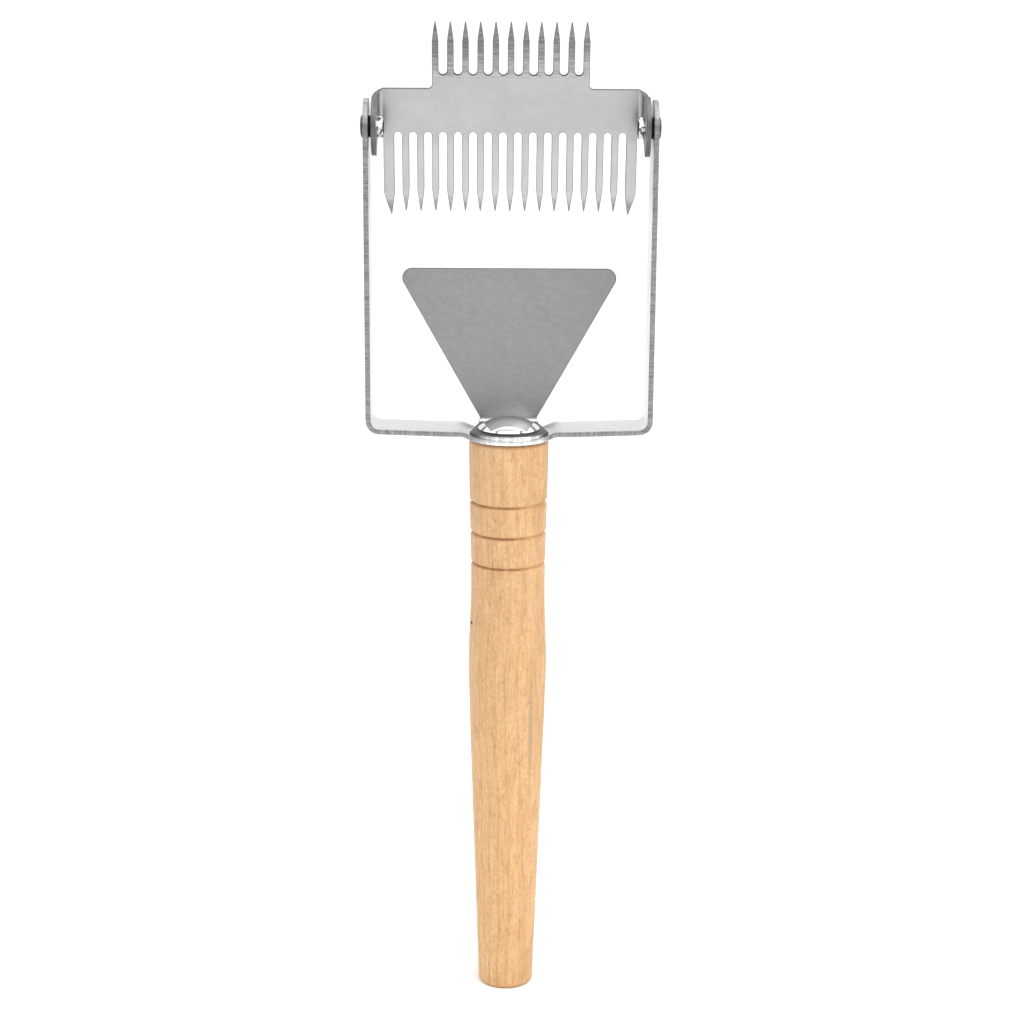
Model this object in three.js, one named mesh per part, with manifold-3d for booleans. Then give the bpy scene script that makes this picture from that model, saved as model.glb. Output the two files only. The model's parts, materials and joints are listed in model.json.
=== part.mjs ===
// Honey-uncapping fork: a turned wooden handle, a bent steel strap frame, a fixed scraper blade
// and a double-ended comb head that turns between the frame's two arms.
// Millimetres. The handle's butt rests at z = 0, the handle runs up +Z, X is across the head,
// and -Y is the side that the comb head leans towards.
import * as THREE from "three";
import { mergeVertices } from "three/addons/utils/BufferGeometryUtils.js";
import Module from "manifold-3d";

const wasm = await Module();
wasm.setup();

// Driving dimensions
const HANDLE_LENGTH = 174.6;
const HANDLE_TOP_RADIUS = 11.8;
const HANDLE_NECK_RADIUS = 11.1; // just below the lowest groove
const HANDLE_BELLY_RADIUS = 11.8;
const HANDLE_BUTT_RADIUS = 8.4;
const HANDLE_BELLY_Z = 104;
const HANDLE_NECK_Z = 130;
const HANDLE_TAPER_Z = 90; // the straight taper starts here and ends at the butt
const HANDLE_TAPER_RADIUS = 11.45;
const BUTT_FILLET = 1.3;
const TAPER_STEP = 20; // spacing of the turned profile's points, along the straight taper
const CURVE_STEP = 5; // and along the curved upper part
const GROOVE_HEIGHTS = [155.6, 146.2, 136.8];
const GROOVE_DEPTH = 0.75;
const GROOVE_HALF_WIDTH = 0.9;
const BOLT_BORE_DEPTH = 46;
const BORE_TIP_DEPTH = 2; // the drill's cone below the bore

const FIT = 0.05; // gap between pieces that are clamped face to face
const STRAP_THICKNESS = 1.5;
const STRAP_DEPTH = 16;
const STRAP_WIDTH = 84; // over the outer faces of the two arms
const STRAP_CORNER_RADIUS = 4; // outside of the bend
const BAR_TOP_Z = 178; // crossbar's upper face beside the dish
const BAR_SLOPE = THREE.MathUtils.degToRad(1.8); // the crossbar rises this much towards its corners
const BAR_SLOPE_X = 18; // where the rise begins
const DISH_RADIUS = 12.6; // flat round boss that lies on the handle
const DISH_RIM_RADIUS = 15.9; // the strap slopes up from the boss to here
const DISH_SEAM_RADIUS = 17; // the flat crossbar is joined to the dish just outside this radius

const PIVOT_Z = 265.4;
const SHANK_RADIUS = 2;
const CLEARANCE_HOLE_RADIUS = 2.2; // in the arms and the friction washers
const RUNNING_HOLE_RADIUS = 2.08; // in the ears, which turn on the shanks
const PIVOT_HEAD_RADIUS = 3.15;
const PIVOT_HEAD_HEIGHT = 1.1;
const PIVOT_HEAD_PROFILE = [[1, 0.5], [0.85, 0.8], [0.5, 0.97]]; // shares of its radius and height
const SHANK_CHAMFER = 0.3;
const SHANK_PAST_NUT = 0.25;
const WASHER_RADIUS = 3.1;
const RUNNING_GAP = 0.04; // each side of an ear
const NUT_ACROSS_CORNERS = 7;
const NUT_THICKNESS = 1.7;
const NUT_CHAMFER = 0.4;
const RECESS_ARM = 3.2;
const RECESS_WIDTH = 0.7;
const RECESS_DEPTH = 0.6;

const HEAD_LEAN = THREE.MathUtils.degToRad(8); // top of the comb head tipped towards -Y at rest
const PLATE_THICKNESS = 1.5;
const PLATE_OFFSET = 7.5; // middle of the comb plate behind the pivot axis
const PLATE_TOP = 9.6; // shoulders, above the pivot axis
const PLATE_HALF_WIDTH = 36.8; // flat part, up to the ears' bends
const EAR_OUTER_X = 39.7;
const EAR_RADIUS = 8.8;
const EAR_FOOT = -2.6; // where the ear's lower edge leaves the plate
const EAR_ROUND_FROM = THREE.MathUtils.degToRad(58); // its round end, from behind the top
const EAR_ROUND_TO = THREE.MathUtils.degToRad(236); // to behind the bottom
const TINE_PITCH = 4.34;
const TINE_WIDTH = 2.02;
const TINE_TIP_WIDTH = 0.4;
const UPPER_TINES = 11;
const LOWER_TINES = 15; // narrow ones, between the two wide outer tines
const UPPER_SLOT_Z = 13.55;
const UPPER_TIP_Z = 28.55;
const UPPER_POINT = 5.6;
const LOWER_SLOT_Z = -2.9;
const LOWER_TIP_Z = -26.25;
const LOWER_POINT = 6.6;
const OUTER_TINE_EXTRA = 1;
const OUTER_TIP_INSET = 2.15; // the outer tine's tip, in from the plate's side edge
const BLOCK_FILLET = 1.2;

const BLADE_THICKNESS = 1;
const BLADE_FRONT_Y = 10.6; // front face of the upright blade
const BLADE_BEND_RADIUS = 1.45; // inside of the bend
const BLADE_TOP_Z = 223.5;
const BLADE_TOP_WIDTH = 63.4;
const BLADE_CORNER_RADIUS = 2.95;
const BLADE_WAIST_WIDTH = 17.2;
const FOOT_RADIUS = 12.2; // round front end of the foot
const FOOT_FLARE = 0.2; // the foot's sides spread this much per mm towards the front

const BOLT_HEAD_RADIUS = 9.1;
const BOLT_HEAD_HEIGHT = 3.8;
const BOLT_SHANK_RADIUS = 2.5;
const BOLT_HOLE_RADIUS = 2.7;
const BOLT_SHANK_LENGTH = 44;
const BOLT_HEAD_RIM = 0.4; // upright edge below the dome
const BOLT_HEAD_EDGE = 0.2; // rounding under that edge
const BOLT_POINT = [1, 2]; // the shank's end: how much narrower, over which length

// Derived levels
const STRAP_HALF_WIDTH = STRAP_WIDTH / 2;
const ARM_INNER_X = STRAP_HALF_WIDTH - STRAP_THICKNESS;
const DISH_BOTTOM_Z = HANDLE_LENGTH + FIT;
const DISH_FLOOR_Z = DISH_BOTTOM_Z + STRAP_THICKNESS;
const FOOT_BOTTOM_Z = DISH_FLOOR_Z + FIT;
const FOOT_TOP_Z = FOOT_BOTTOM_Z + BLADE_THICKNESS;
const BLADE_BEND_Z = FOOT_TOP_Z + BLADE_BEND_RADIUS;
const BOLT_HEAD_Z = FOOT_TOP_Z + FIT;

// Solids: three.js geometry turned into manifold-3d solids, and back
function solid(geometry) {
  geometry.deleteAttribute("normal");
  geometry.deleteAttribute("uv");
  const merged = mergeVertices(geometry, 1e-4);
  const mesh = new wasm.Mesh({
    numProp: 3,
    vertProperties: merged.attributes.position.array,
    triVerts: new Uint32Array(merged.index.array),
  });
  return new wasm.Manifold(mesh);
}

function geometryOf(manifold) {
  const mesh = manifold.getMesh();
  const geometry = new THREE.BufferGeometry();
  geometry.setAttribute("position", new THREE.BufferAttribute(mesh.vertProperties, 3));
  geometry.setIndex(new THREE.BufferAttribute(mesh.triVerts, 1));
  const flat = geometry.toNonIndexed();
  flat.computeVertexNormals();
  return flat;
}

// A shape drawn in one plane and extruded from `low` to `high` along the third axis
function prism(shape, plane, low, high, curveSegments = 8) {
  const geometry = new THREE.ExtrudeGeometry(shape, {
    depth: high - low,
    bevelEnabled: false,
    curveSegments,
  });
  geometry.translate(0, 0, low);
  const frames = {
    XY: [[1, 0, 0], [0, 1, 0], [0, 0, 1]],
    YZ: [[0, 1, 0], [0, 0, 1], [1, 0, 0]],
    XZ: [[-1, 0, 0], [0, 0, 1], [0, 1, 0]],
  };
  const [u, v, w] = frames[plane].map((axis) => new THREE.Vector3(...axis));
  geometry.applyMatrix4(new THREE.Matrix4().makeBasis(u, v, w));
  return solid(geometry);
}

function cylinderAlongX(radius, x0, x1, segments = 40) {
  const geometry = new THREE.CylinderGeometry(radius, radius, x1 - x0, segments);
  geometry.rotateZ(-Math.PI / 2);
  geometry.translate((x0 + x1) / 2, 0, 0);
  return solid(geometry);
}

// A profile of [radius, height] points turned about the +Z axis
function turned(points, segments) {
  const profile = points.map(([radius, height]) => new THREE.Vector2(radius, height));
  return solid(new THREE.LatheGeometry(profile, segments).rotateX(Math.PI / 2));
}

function mirrored(part) {
  return part.mirror([1, 0, 0]);
}

// Angles from 0 to 90 degrees in equal steps, both ends included
function quarterTurn(steps) {
  return Array.from({ length: steps + 1 }, (_, step) => ((step / steps) * Math.PI) / 2);
}

// Handle
function taperRadius(z) {
  const share = z / HANDLE_TAPER_Z;
  return HANDLE_BUTT_RADIUS + (HANDLE_TAPER_RADIUS - HANDLE_BUTT_RADIUS) * share;
}

function handleRadius(z) {
  if (z <= HANDLE_TAPER_Z) return taperRadius(z);
  const knots = [
    [HANDLE_TAPER_Z, HANDLE_TAPER_RADIUS],
    [HANDLE_BELLY_Z, HANDLE_BELLY_RADIUS],
    [HANDLE_NECK_Z, HANDLE_NECK_RADIUS],
    [HANDLE_LENGTH, HANDLE_TOP_RADIUS],
  ];
  const next = knots.findIndex(([height]) => z <= height);
  const [lowZ, lowRadius] = knots[next - 1];
  const [highZ, highRadius] = knots[next];
  const share = THREE.MathUtils.smoothstep(z, lowZ, highZ);
  return lowRadius + (highRadius - lowRadius) * share;
}

function grooveDepth(z) {
  const distances = GROOVE_HEIGHTS.map((height) => Math.abs(z - height));
  const nearest = Math.min(...distances) / GROOVE_HALF_WIDTH;
  return nearest < 1 ? GROOVE_DEPTH * (1 - nearest) : 0;
}

function makeHandle() {
  const heights = [];
  for (let z = TAPER_STEP / 2; z <= HANDLE_TAPER_Z; z += TAPER_STEP) heights.push(z);
  for (let z = HANDLE_TAPER_Z + CURVE_STEP; z < HANDLE_LENGTH; z += CURVE_STEP) heights.push(z);
  for (const groove of GROOVE_HEIGHTS) {
    for (const step of [-1, 0, 1]) heights.push(groove + step * GROOVE_HALF_WIDTH);
  }
  heights.push(HANDLE_LENGTH);
  heights.sort((a, b) => a - b);

  const points = [[0, 0]];
  const filletRadius = taperRadius(BUTT_FILLET) - BUTT_FILLET;
  for (const angle of quarterTurn(4)) {
    const radius = filletRadius + BUTT_FILLET * Math.sin(angle);
    points.push([radius, BUTT_FILLET * (1 - Math.cos(angle))]);
  }
  for (const z of heights) points.push([handleRadius(z) - grooveDepth(z), z]);
  const boreFloor = HANDLE_LENGTH - BOLT_BORE_DEPTH;
  points.push([BOLT_HOLE_RADIUS, HANDLE_LENGTH], [BOLT_HOLE_RADIUS, boreFloor]);
  points.push([0, boreFloor - BORE_TIP_DEPTH]);
  return turned(points, 40);
}

// Frame: a strap bent to a U, with a round dish pressed in its middle where it sits on the handle
function barLowerZ(x) {
  return BAR_TOP_Z - STRAP_THICKNESS + Math.max(0, x - BAR_SLOPE_X) * Math.tan(BAR_SLOPE);
}

function makeHalfStrap() {
  const inner = STRAP_CORNER_RADIUS - STRAP_THICKNESS;
  const centreX = STRAP_HALF_WIDTH - STRAP_CORNER_RADIUS;
  const centreZ = barLowerZ(centreX) + STRAP_CORNER_RADIUS / Math.cos(BAR_SLOPE);
  const start = -Math.PI / 2 + BAR_SLOPE;
  const beyond = PIVOT_Z + STRAP_DEPTH;
  const shape = new THREE.Shape();
  shape.moveTo(0, barLowerZ(0));
  shape.lineTo(BAR_SLOPE_X, barLowerZ(0));
  shape.absarc(centreX, centreZ, STRAP_CORNER_RADIUS, start, 0, false);
  shape.lineTo(STRAP_HALF_WIDTH, beyond);
  shape.lineTo(ARM_INNER_X, beyond);
  shape.absarc(centreX, centreZ, inner, 0, start, true);
  shape.lineTo(BAR_SLOPE_X, BAR_TOP_Z);
  shape.lineTo(0, BAR_TOP_Z);
  shape.closePath();
  // the XZ plane's first axis points to -X, so this is the left half, and it is mirrored
  return mirrored(prism(shape, "XZ", -STRAP_DEPTH / 2, STRAP_DEPTH / 2));
}

function disc(radius, low, high, segments = 48) {
  return turned([[0, low], [radius, low], [radius, high], [0, high]], segments);
}

// The pressed middle of the strap: a flat round boss with a cone up to the crossbar's level
function makeDish() {
  const barBottom = BAR_TOP_Z - STRAP_THICKNESS;
  const slope = Math.atan2(barBottom - DISH_BOTTOM_Z, DISH_RIM_RADIUS - DISH_RADIUS);
  const shift = STRAP_THICKNESS * Math.tan(slope / 2);
  const edge = DISH_SEAM_RADIUS + 0.5;
  const pressed = turned(
    [
      [0, DISH_BOTTOM_Z],
      [DISH_RADIUS, DISH_BOTTOM_Z],
      [DISH_RIM_RADIUS, barBottom],
      [edge, barBottom],
      [edge, BAR_TOP_Z],
      [DISH_RIM_RADIUS - shift, BAR_TOP_Z],
      [DISH_RADIUS - shift, DISH_FLOOR_Z],
      [0, DISH_FLOOR_Z],
    ],
    64,
  );
  const strip = solid(new THREE.BoxGeometry(STRAP_WIDTH, STRAP_DEPTH, STRAP_WIDTH));
  const withinStrap = strip.translate([0, 0, HANDLE_LENGTH]);
  const boss = disc(DISH_RADIUS, DISH_BOTTOM_Z, DISH_FLOOR_Z, 64);
  return pressed.intersect(withinStrap).add(boss);
}

function makeFrame() {
  const half = STRAP_DEPTH / 2;
  const sideView = new THREE.Shape();
  sideView.moveTo(-half, 0);
  sideView.lineTo(half, 0);
  sideView.lineTo(half, PIVOT_Z);
  sideView.absarc(0, PIVOT_Z, half, 0, Math.PI, false);
  sideView.closePath();

  const right = makeHalfStrap();
  const bars = right.add(mirrored(right)).subtract(disc(DISH_SEAM_RADIUS, 0, PIVOT_Z));
  const trimmed = bars.intersect(prism(sideView, "YZ", -STRAP_WIDTH, STRAP_WIDTH, 12));
  const pivotHole = cylinderAlongX(CLEARANCE_HOLE_RADIUS, -STRAP_WIDTH, STRAP_WIDTH);
  const drilled = trimmed.subtract(pivotHole.translate([0, 0, PIVOT_Z]));
  return drilled.add(makeDish()).subtract(disc(BOLT_HOLE_RADIUS, 0, BAR_TOP_Z, 32));
}

// Scraper blade: an upright trapezoid bent forward into a round foot that lies in the dish
function bladeFace() {
  const halfTop = BLADE_TOP_WIDTH / 2;
  const halfWaist = BLADE_WAIST_WIDTH / 2;
  const radius = BLADE_CORNER_RADIUS;
  const cornerX = halfTop - radius;
  const cornerZ = BLADE_TOP_Z - radius;
  const sideAngle = Math.atan2(cornerX - halfWaist, cornerZ - BLADE_BEND_Z);
  const shape = new THREE.Shape();
  shape.moveTo(halfWaist, FOOT_TOP_Z);
  shape.lineTo(halfWaist, BLADE_BEND_Z);
  shape.absarc(cornerX, cornerZ, radius, -sideAngle, Math.PI / 2, false);
  shape.absarc(-cornerX, cornerZ, radius, Math.PI / 2, Math.PI + sideAngle, false);
  shape.lineTo(-halfWaist, BLADE_BEND_Z);
  shape.lineTo(-halfWaist, FOOT_TOP_Z);
  shape.closePath();
  return prism(shape, "XZ", 0, STRAP_DEPTH, 6);
}

function bladeFoot() {
  const halfWaist = BLADE_WAIST_WIDTH / 2;
  const backY = BLADE_FRONT_Y + BLADE_THICKNESS;
  // the straight sides x = widest - flare * y meet the round front where x^2 + y^2 = radius^2
  const widest = halfWaist + FOOT_FLARE * backY;
  const a = 1 + FOOT_FLARE * FOOT_FLARE;
  const b = widest * FOOT_FLARE;
  const c = widest * widest - FOOT_RADIUS * FOOT_RADIUS;
  const meetY = (b - Math.sqrt(b * b - a * c)) / a;
  const meet = Math.asin(meetY / FOOT_RADIUS);
  const shape = new THREE.Shape();
  shape.moveTo(-halfWaist, backY);
  shape.absarc(0, 0, FOOT_RADIUS, Math.PI - meet, 2 * Math.PI + meet, false);
  shape.lineTo(halfWaist, backY);
  shape.closePath();
  return prism(shape, "XY", HANDLE_LENGTH, BLADE_BEND_Z, 24);
}

function makeBlade() {
  const bendY = BLADE_FRONT_Y - BLADE_BEND_RADIUS;
  const outer = BLADE_BEND_RADIUS + BLADE_THICKNESS;
  const section = new THREE.Shape();
  section.moveTo(-STRAP_DEPTH, FOOT_BOTTOM_Z);
  section.absarc(bendY, BLADE_BEND_Z, outer, -Math.PI / 2, 0, false);
  section.lineTo(BLADE_FRONT_Y + BLADE_THICKNESS, BLADE_TOP_Z + 1);
  section.lineTo(BLADE_FRONT_Y, BLADE_TOP_Z + 1);
  section.absarc(bendY, BLADE_BEND_Z, BLADE_BEND_RADIUS, 0, -Math.PI / 2, true);
  section.lineTo(-STRAP_DEPTH, FOOT_TOP_Z);
  section.closePath();
  const sheet = prism(section, "YZ", -BLADE_TOP_WIDTH, BLADE_TOP_WIDTH);
  const outline = bladeFace().add(bladeFoot());
  return sheet.intersect(outline).subtract(disc(BOLT_HOLE_RADIUS, 0, BLADE_BEND_Z, 32));
}

// Domed bolt that clamps the blade's foot and the frame's dish onto the handle
function makeHandleBolt() {
  const end = HANDLE_LENGTH - BOLT_SHANK_LENGTH;
  const [narrowing, pointLength] = BOLT_POINT;
  const points = [[0, end], [BOLT_SHANK_RADIUS - narrowing, end]];
  points.push([BOLT_SHANK_RADIUS, end + pointLength], [BOLT_SHANK_RADIUS, BOLT_HEAD_Z]);
  points.push([BOLT_HEAD_RADIUS - BOLT_HEAD_EDGE, BOLT_HEAD_Z]);
  for (const angle of quarterTurn(8).slice(0, -1)) {
    const height = BOLT_HEAD_RIM + (BOLT_HEAD_HEIGHT - BOLT_HEAD_RIM) * Math.sin(angle);
    points.push([BOLT_HEAD_RADIUS * Math.cos(angle), BOLT_HEAD_Z + height]);
  }
  points.push([0, BOLT_HEAD_Z + BOLT_HEAD_HEIGHT]);
  return turned(points, 48);
}

// Comb head, in its own frame: pivot axis at the origin, plate behind it, tines up and down.
// A tine is its two sides at the root and its two corners at the tip.
function narrowTine(centre, shoulder, tip) {
  return {
    left: centre - TINE_WIDTH / 2,
    right: centre + TINE_WIDTH / 2,
    tipLeft: centre - TINE_TIP_WIDTH / 2,
    tipRight: centre + TINE_TIP_WIDTH / 2,
    shoulder,
    tip,
  };
}

function upperTines() {
  const span = ((UPPER_TINES - 1) / 2) * TINE_PITCH;
  const tines = [];
  for (let tine = 0; tine < UPPER_TINES; tine++) {
    tines.push(narrowTine(tine * TINE_PITCH - span, UPPER_TIP_Z - UPPER_POINT, UPPER_TIP_Z));
  }
  return tines;
}

function lowerTines() {
  const span = ((LOWER_TINES - 1) / 2) * TINE_PITCH;
  const tip = LOWER_TIP_Z - OUTER_TINE_EXTRA;
  const tipX = PLATE_HALF_WIDTH - OUTER_TIP_INSET;
  const outer = {
    left: span + TINE_PITCH - TINE_WIDTH / 2,
    right: PLATE_HALF_WIDTH,
    tipLeft: tipX - TINE_TIP_WIDTH / 2,
    tipRight: tipX + TINE_TIP_WIDTH / 2,
    shoulder: tip + LOWER_POINT,
    tip,
  };
  const opposite = {
    ...outer,
    left: -outer.right,
    right: -outer.left,
    tipLeft: -outer.tipRight,
    tipRight: -outer.tipLeft,
  };
  const tines = [opposite];
  for (let tine = 0; tine < LOWER_TINES; tine++) {
    tines.push(narrowTine(tine * TINE_PITCH - span, LOWER_TIP_Z + LOWER_POINT, LOWER_TIP_Z));
  }
  tines.push(outer);
  return tines;
}

// The space between two neighbouring tines: round at its root, parallel, then flared at the points
function gapBetween(tine, next, slotZ) {
  const radius = (next.left - tine.right) / 2;
  const centre = (next.left + tine.right) / 2;
  const outwards = Math.sign(slotZ);
  const beyond = outwards * (UPPER_TIP_Z + PLATE_TOP);
  const shape = new THREE.Shape();
  shape.moveTo(tine.tipRight, beyond);
  shape.lineTo(tine.tipRight, tine.tip);
  shape.lineTo(tine.right, tine.shoulder);
  shape.absarc(centre, slotZ + outwards * radius, radius, Math.PI, 0, outwards < 0);
  shape.lineTo(next.left, next.shoulder);
  shape.lineTo(next.tipLeft, next.tip);
  shape.lineTo(next.tipLeft, beyond);
  shape.closePath();
  return shape;
}

// The space outside the last tine's point; side is 1 for the right end and -1 for the left
function gapOutside(tine, side) {
  const shape = new THREE.Shape();
  const root = side > 0 ? tine.right : tine.left;
  const point = side > 0 ? tine.tipRight : tine.tipLeft;
  shape.moveTo(root, tine.shoulder);
  shape.lineTo(point, tine.tip);
  shape.lineTo(point, tine.tip + Math.sign(tine.tip));
  shape.lineTo(root + side, tine.tip + Math.sign(tine.tip));
  shape.lineTo(root + side, tine.shoulder);
  shape.closePath();
  return shape;
}

function combPlate() {
  const upper = upperTines();
  const lower = lowerTines();
  const lowest = lower[0].tip;
  const blockHalf = upper[upper.length - 1].right;
  const filletX = blockHalf + BLOCK_FILLET;
  const filletZ = PLATE_TOP + BLOCK_FILLET;
  const body = new THREE.Shape();
  body.moveTo(-PLATE_HALF_WIDTH, lowest);
  body.lineTo(PLATE_HALF_WIDTH, lowest);
  body.lineTo(PLATE_HALF_WIDTH, PLATE_TOP);
  body.lineTo(-PLATE_HALF_WIDTH, PLATE_TOP);
  body.closePath();
  const block = new THREE.Shape();
  block.moveTo(-filletX, 0);
  block.lineTo(filletX, 0);
  block.absarc(filletX, filletZ, BLOCK_FILLET, -Math.PI / 2, -Math.PI, true);
  block.lineTo(blockHalf, UPPER_TIP_Z);
  block.lineTo(-blockHalf, UPPER_TIP_Z);
  block.absarc(-filletX, filletZ, BLOCK_FILLET, 0, -Math.PI / 2, true);
  block.closePath();

  const cuts = [];
  for (const [tines, slotZ] of [[upper, UPPER_SLOT_Z], [lower, LOWER_SLOT_Z]]) {
    for (let tine = 1; tine < tines.length; tine++) {
      cuts.push(gapBetween(tines[tine - 1], tines[tine], slotZ));
    }
    cuts.push(gapOutside(tines[0], -1), gapOutside(tines[tines.length - 1], 1));
  }
  const through = 2 * PLATE_OFFSET;
  let plate = prism(body, "XZ", 0, through).add(prism(block, "XZ", 0, through, 4));
  for (const cut of cuts) plate = plate.subtract(prism(cut, "XZ", -1, through + 1, 8));
  return plate;
}

// Side view of the plate: full thickness in the middle, ground thin at the tines' points
function plateSection() {
  const half = PLATE_THICKNESS / 2;
  const thin = TINE_TIP_WIDTH / 2;
  const lowest = LOWER_TIP_Z - OUTER_TINE_EXTRA;
  const shape = new THREE.Shape();
  shape.moveTo(PLATE_OFFSET - thin, lowest);
  shape.lineTo(PLATE_OFFSET + thin, lowest);
  shape.lineTo(PLATE_OFFSET + half, lowest + LOWER_POINT);
  shape.lineTo(PLATE_OFFSET + half, UPPER_TIP_Z - UPPER_POINT);
  shape.lineTo(PLATE_OFFSET + thin, UPPER_TIP_Z);
  shape.lineTo(PLATE_OFFSET - thin, UPPER_TIP_Z);
  shape.lineTo(PLATE_OFFSET - half, UPPER_TIP_Z - UPPER_POINT);
  shape.lineTo(PLATE_OFFSET - half, lowest + LOWER_POINT);
  shape.closePath();
  return shape;
}

function makeEar() {
  const front = PLATE_OFFSET - PLATE_THICKNESS / 2;
  const back = PLATE_OFFSET + PLATE_THICKNESS / 2;
  const outer = EAR_OUTER_X - PLATE_HALF_WIDTH;
  const inner = outer - PLATE_THICKNESS;
  const bendY = back - outer;
  const overlap = 1;
  const reach = EAR_RADIUS + overlap;
  const bent = new THREE.Shape();
  bent.moveTo(PLATE_HALF_WIDTH - overlap, front);
  bent.absarc(PLATE_HALF_WIDTH, bendY, inner, Math.PI / 2, 0, true);
  bent.lineTo(EAR_OUTER_X - PLATE_THICKNESS, -reach);
  bent.lineTo(EAR_OUTER_X, -reach);
  bent.absarc(PLATE_HALF_WIDTH, bendY, outer, 0, Math.PI / 2, false);
  bent.lineTo(PLATE_HALF_WIDTH - overlap, back);
  bent.closePath();
  const sheet = prism(bent, "XY", -reach, PLATE_TOP);

  const side = new THREE.Shape();
  side.moveTo(back, PLATE_TOP);
  side.lineTo(PLATE_OFFSET, PLATE_TOP);
  side.absarc(0, 0, EAR_RADIUS, EAR_ROUND_FROM, EAR_ROUND_TO, false);
  side.lineTo(bendY, EAR_FOOT);
  side.lineTo(back, EAR_FOOT);
  side.closePath();
  const outline = prism(side, "YZ", 0, STRAP_WIDTH, 24);
  return sheet.intersect(outline).subtract(cylinderAlongX(RUNNING_HOLE_RADIUS, 0, STRAP_WIDTH, 48));
}

function makeCombHead() {
  const ground = combPlate().intersect(prism(plateSection(), "YZ", -STRAP_WIDTH, STRAP_WIDTH));
  const ear = makeEar();
  return ground.add(ear).add(mirrored(ear));
}

// Pivot pieces for the right side, on the X axis; the left ones are their mirror images
function makePivotScrew() {
  const seat = STRAP_HALF_WIDTH + RUNNING_GAP / 2;
  const top = seat + PIVOT_HEAD_HEIGHT;
  const tip = EAR_OUTER_X - PLATE_THICKNESS - RUNNING_GAP - NUT_THICKNESS - SHANK_PAST_NUT;
  const points = [[0, tip], [SHANK_RADIUS - SHANK_CHAMFER, tip], [SHANK_RADIUS, tip + SHANK_CHAMFER]];
  points.push([SHANK_RADIUS, seat], [PIVOT_HEAD_RADIUS, seat]);
  for (const [radius, height] of PIVOT_HEAD_PROFILE) {
    points.push([PIVOT_HEAD_RADIUS * radius, seat + PIVOT_HEAD_HEIGHT * height]);
  }
  points.push([0, top]);
  const screw = turned(points, 36);
  const arm = new THREE.BoxGeometry(RECESS_ARM, RECESS_WIDTH, RECESS_DEPTH * 2);
  arm.translate(0, 0, top);
  const cross = solid(arm);
  return alongX(screw.subtract(cross).subtract(cross.rotate([0, 0, 90])));
}

function makeWasher() {
  const outerX = ARM_INNER_X - RUNNING_GAP;
  const innerX = EAR_OUTER_X + RUNNING_GAP;
  const points = [[CLEARANCE_HOLE_RADIUS, innerX], [WASHER_RADIUS, innerX], [WASHER_RADIUS, outerX]];
  points.push([CLEARANCE_HOLE_RADIUS, outerX], [CLEARANCE_HOLE_RADIUS, innerX]);
  return alongX(turned(points, 36));
}

function makeNut() {
  const outerX = EAR_OUTER_X - PLATE_THICKNESS - RUNNING_GAP;
  const innerX = outerX - NUT_THICKNESS;
  const corner = NUT_ACROSS_CORNERS / 2;
  const hexagon = solid(new THREE.CylinderGeometry(corner, corner, NUT_THICKNESS, 6));
  const prismatic = hexagon.rotate([90, 0, 0]).translate([0, 0, (outerX + innerX) / 2]);
  const profile = [[0, innerX], [corner - NUT_CHAMFER, innerX], [corner, innerX + NUT_CHAMFER]];
  const rounded = turned([...profile, [corner, outerX], [0, outerX]], 36);
  const hole = disc(CLEARANCE_HOLE_RADIUS, 0, STRAP_WIDTH, 36);
  return alongX(prismatic.intersect(rounded).subtract(hole));
}

function alongX(part) {
  return part.rotate([0, 90, 0]).translate([0, 0, PIVOT_Z]);
}

// Materials
function steel(color, roughness) {
  return new THREE.MeshStandardMaterial({ color, roughness, metalness: 1 });
}

const finishes = {
  wood: () => new THREE.MeshStandardMaterial({ color: 0xeec090, roughness: 0.55, metalness: 0 }),
  comb: () => steel(0xcacaca, 0.35),
  strap: () => steel(0xbdbdbd, 0.38),
  blade: () => steel(0xa2a2a2, 0.4),
  polished: () => steel(0xd8d8d8, 0.12),
  washer: () => new THREE.MeshStandardMaterial({ color: 0x151515, roughness: 0.6, metalness: 0 }),
};

const part = new THREE.Group();

function place(name, manifold, finish, parent = part) {
  const mesh = new THREE.Mesh(geometryOf(manifold), finishes[finish]());
  mesh.name = name;
  parent.add(mesh);
}

place("handle", makeHandle(), "wood");
place("frame_strap", makeFrame(), "strap");
place("scraper_blade", makeBlade(), "blade");
place("handle_bolt", makeHandleBolt(), "polished");

const headGroup = new THREE.Group();
headGroup.position.set(0, 0, PIVOT_Z);
headGroup.rotation.x = HEAD_LEAN;
part.add(headGroup);
place("comb_head", makeCombHead(), "comb", headGroup);

const pivotPieces = [
  ["pivot_screw", makePivotScrew(), "polished"],
  ["friction_washer", makeWasher(), "washer"],
  ["pivot_nut", makeNut(), "polished"],
];
for (const [name, manifold, finish] of pivotPieces) {
  place(name + "_right", manifold, finish);
  place(name + "_left", mirrored(manifold), finish);
}

export default part;
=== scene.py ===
"""Looks of the honey-uncapping fork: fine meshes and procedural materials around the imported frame.

Shapes are drawn in millimetres and turned to metres when a piece is made. X is across the head, +Z runs
up the handle, and -Y is the front, towards which the comb head's top leans.
"""

import json
from math import asin, atan2, cos, dist, hypot, pi, radians, sin, sqrt

import bmesh
import bpy
from mathutils import Matrix, Quaternion, Vector
from mathutils.geometry import tessellate_polygon


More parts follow.
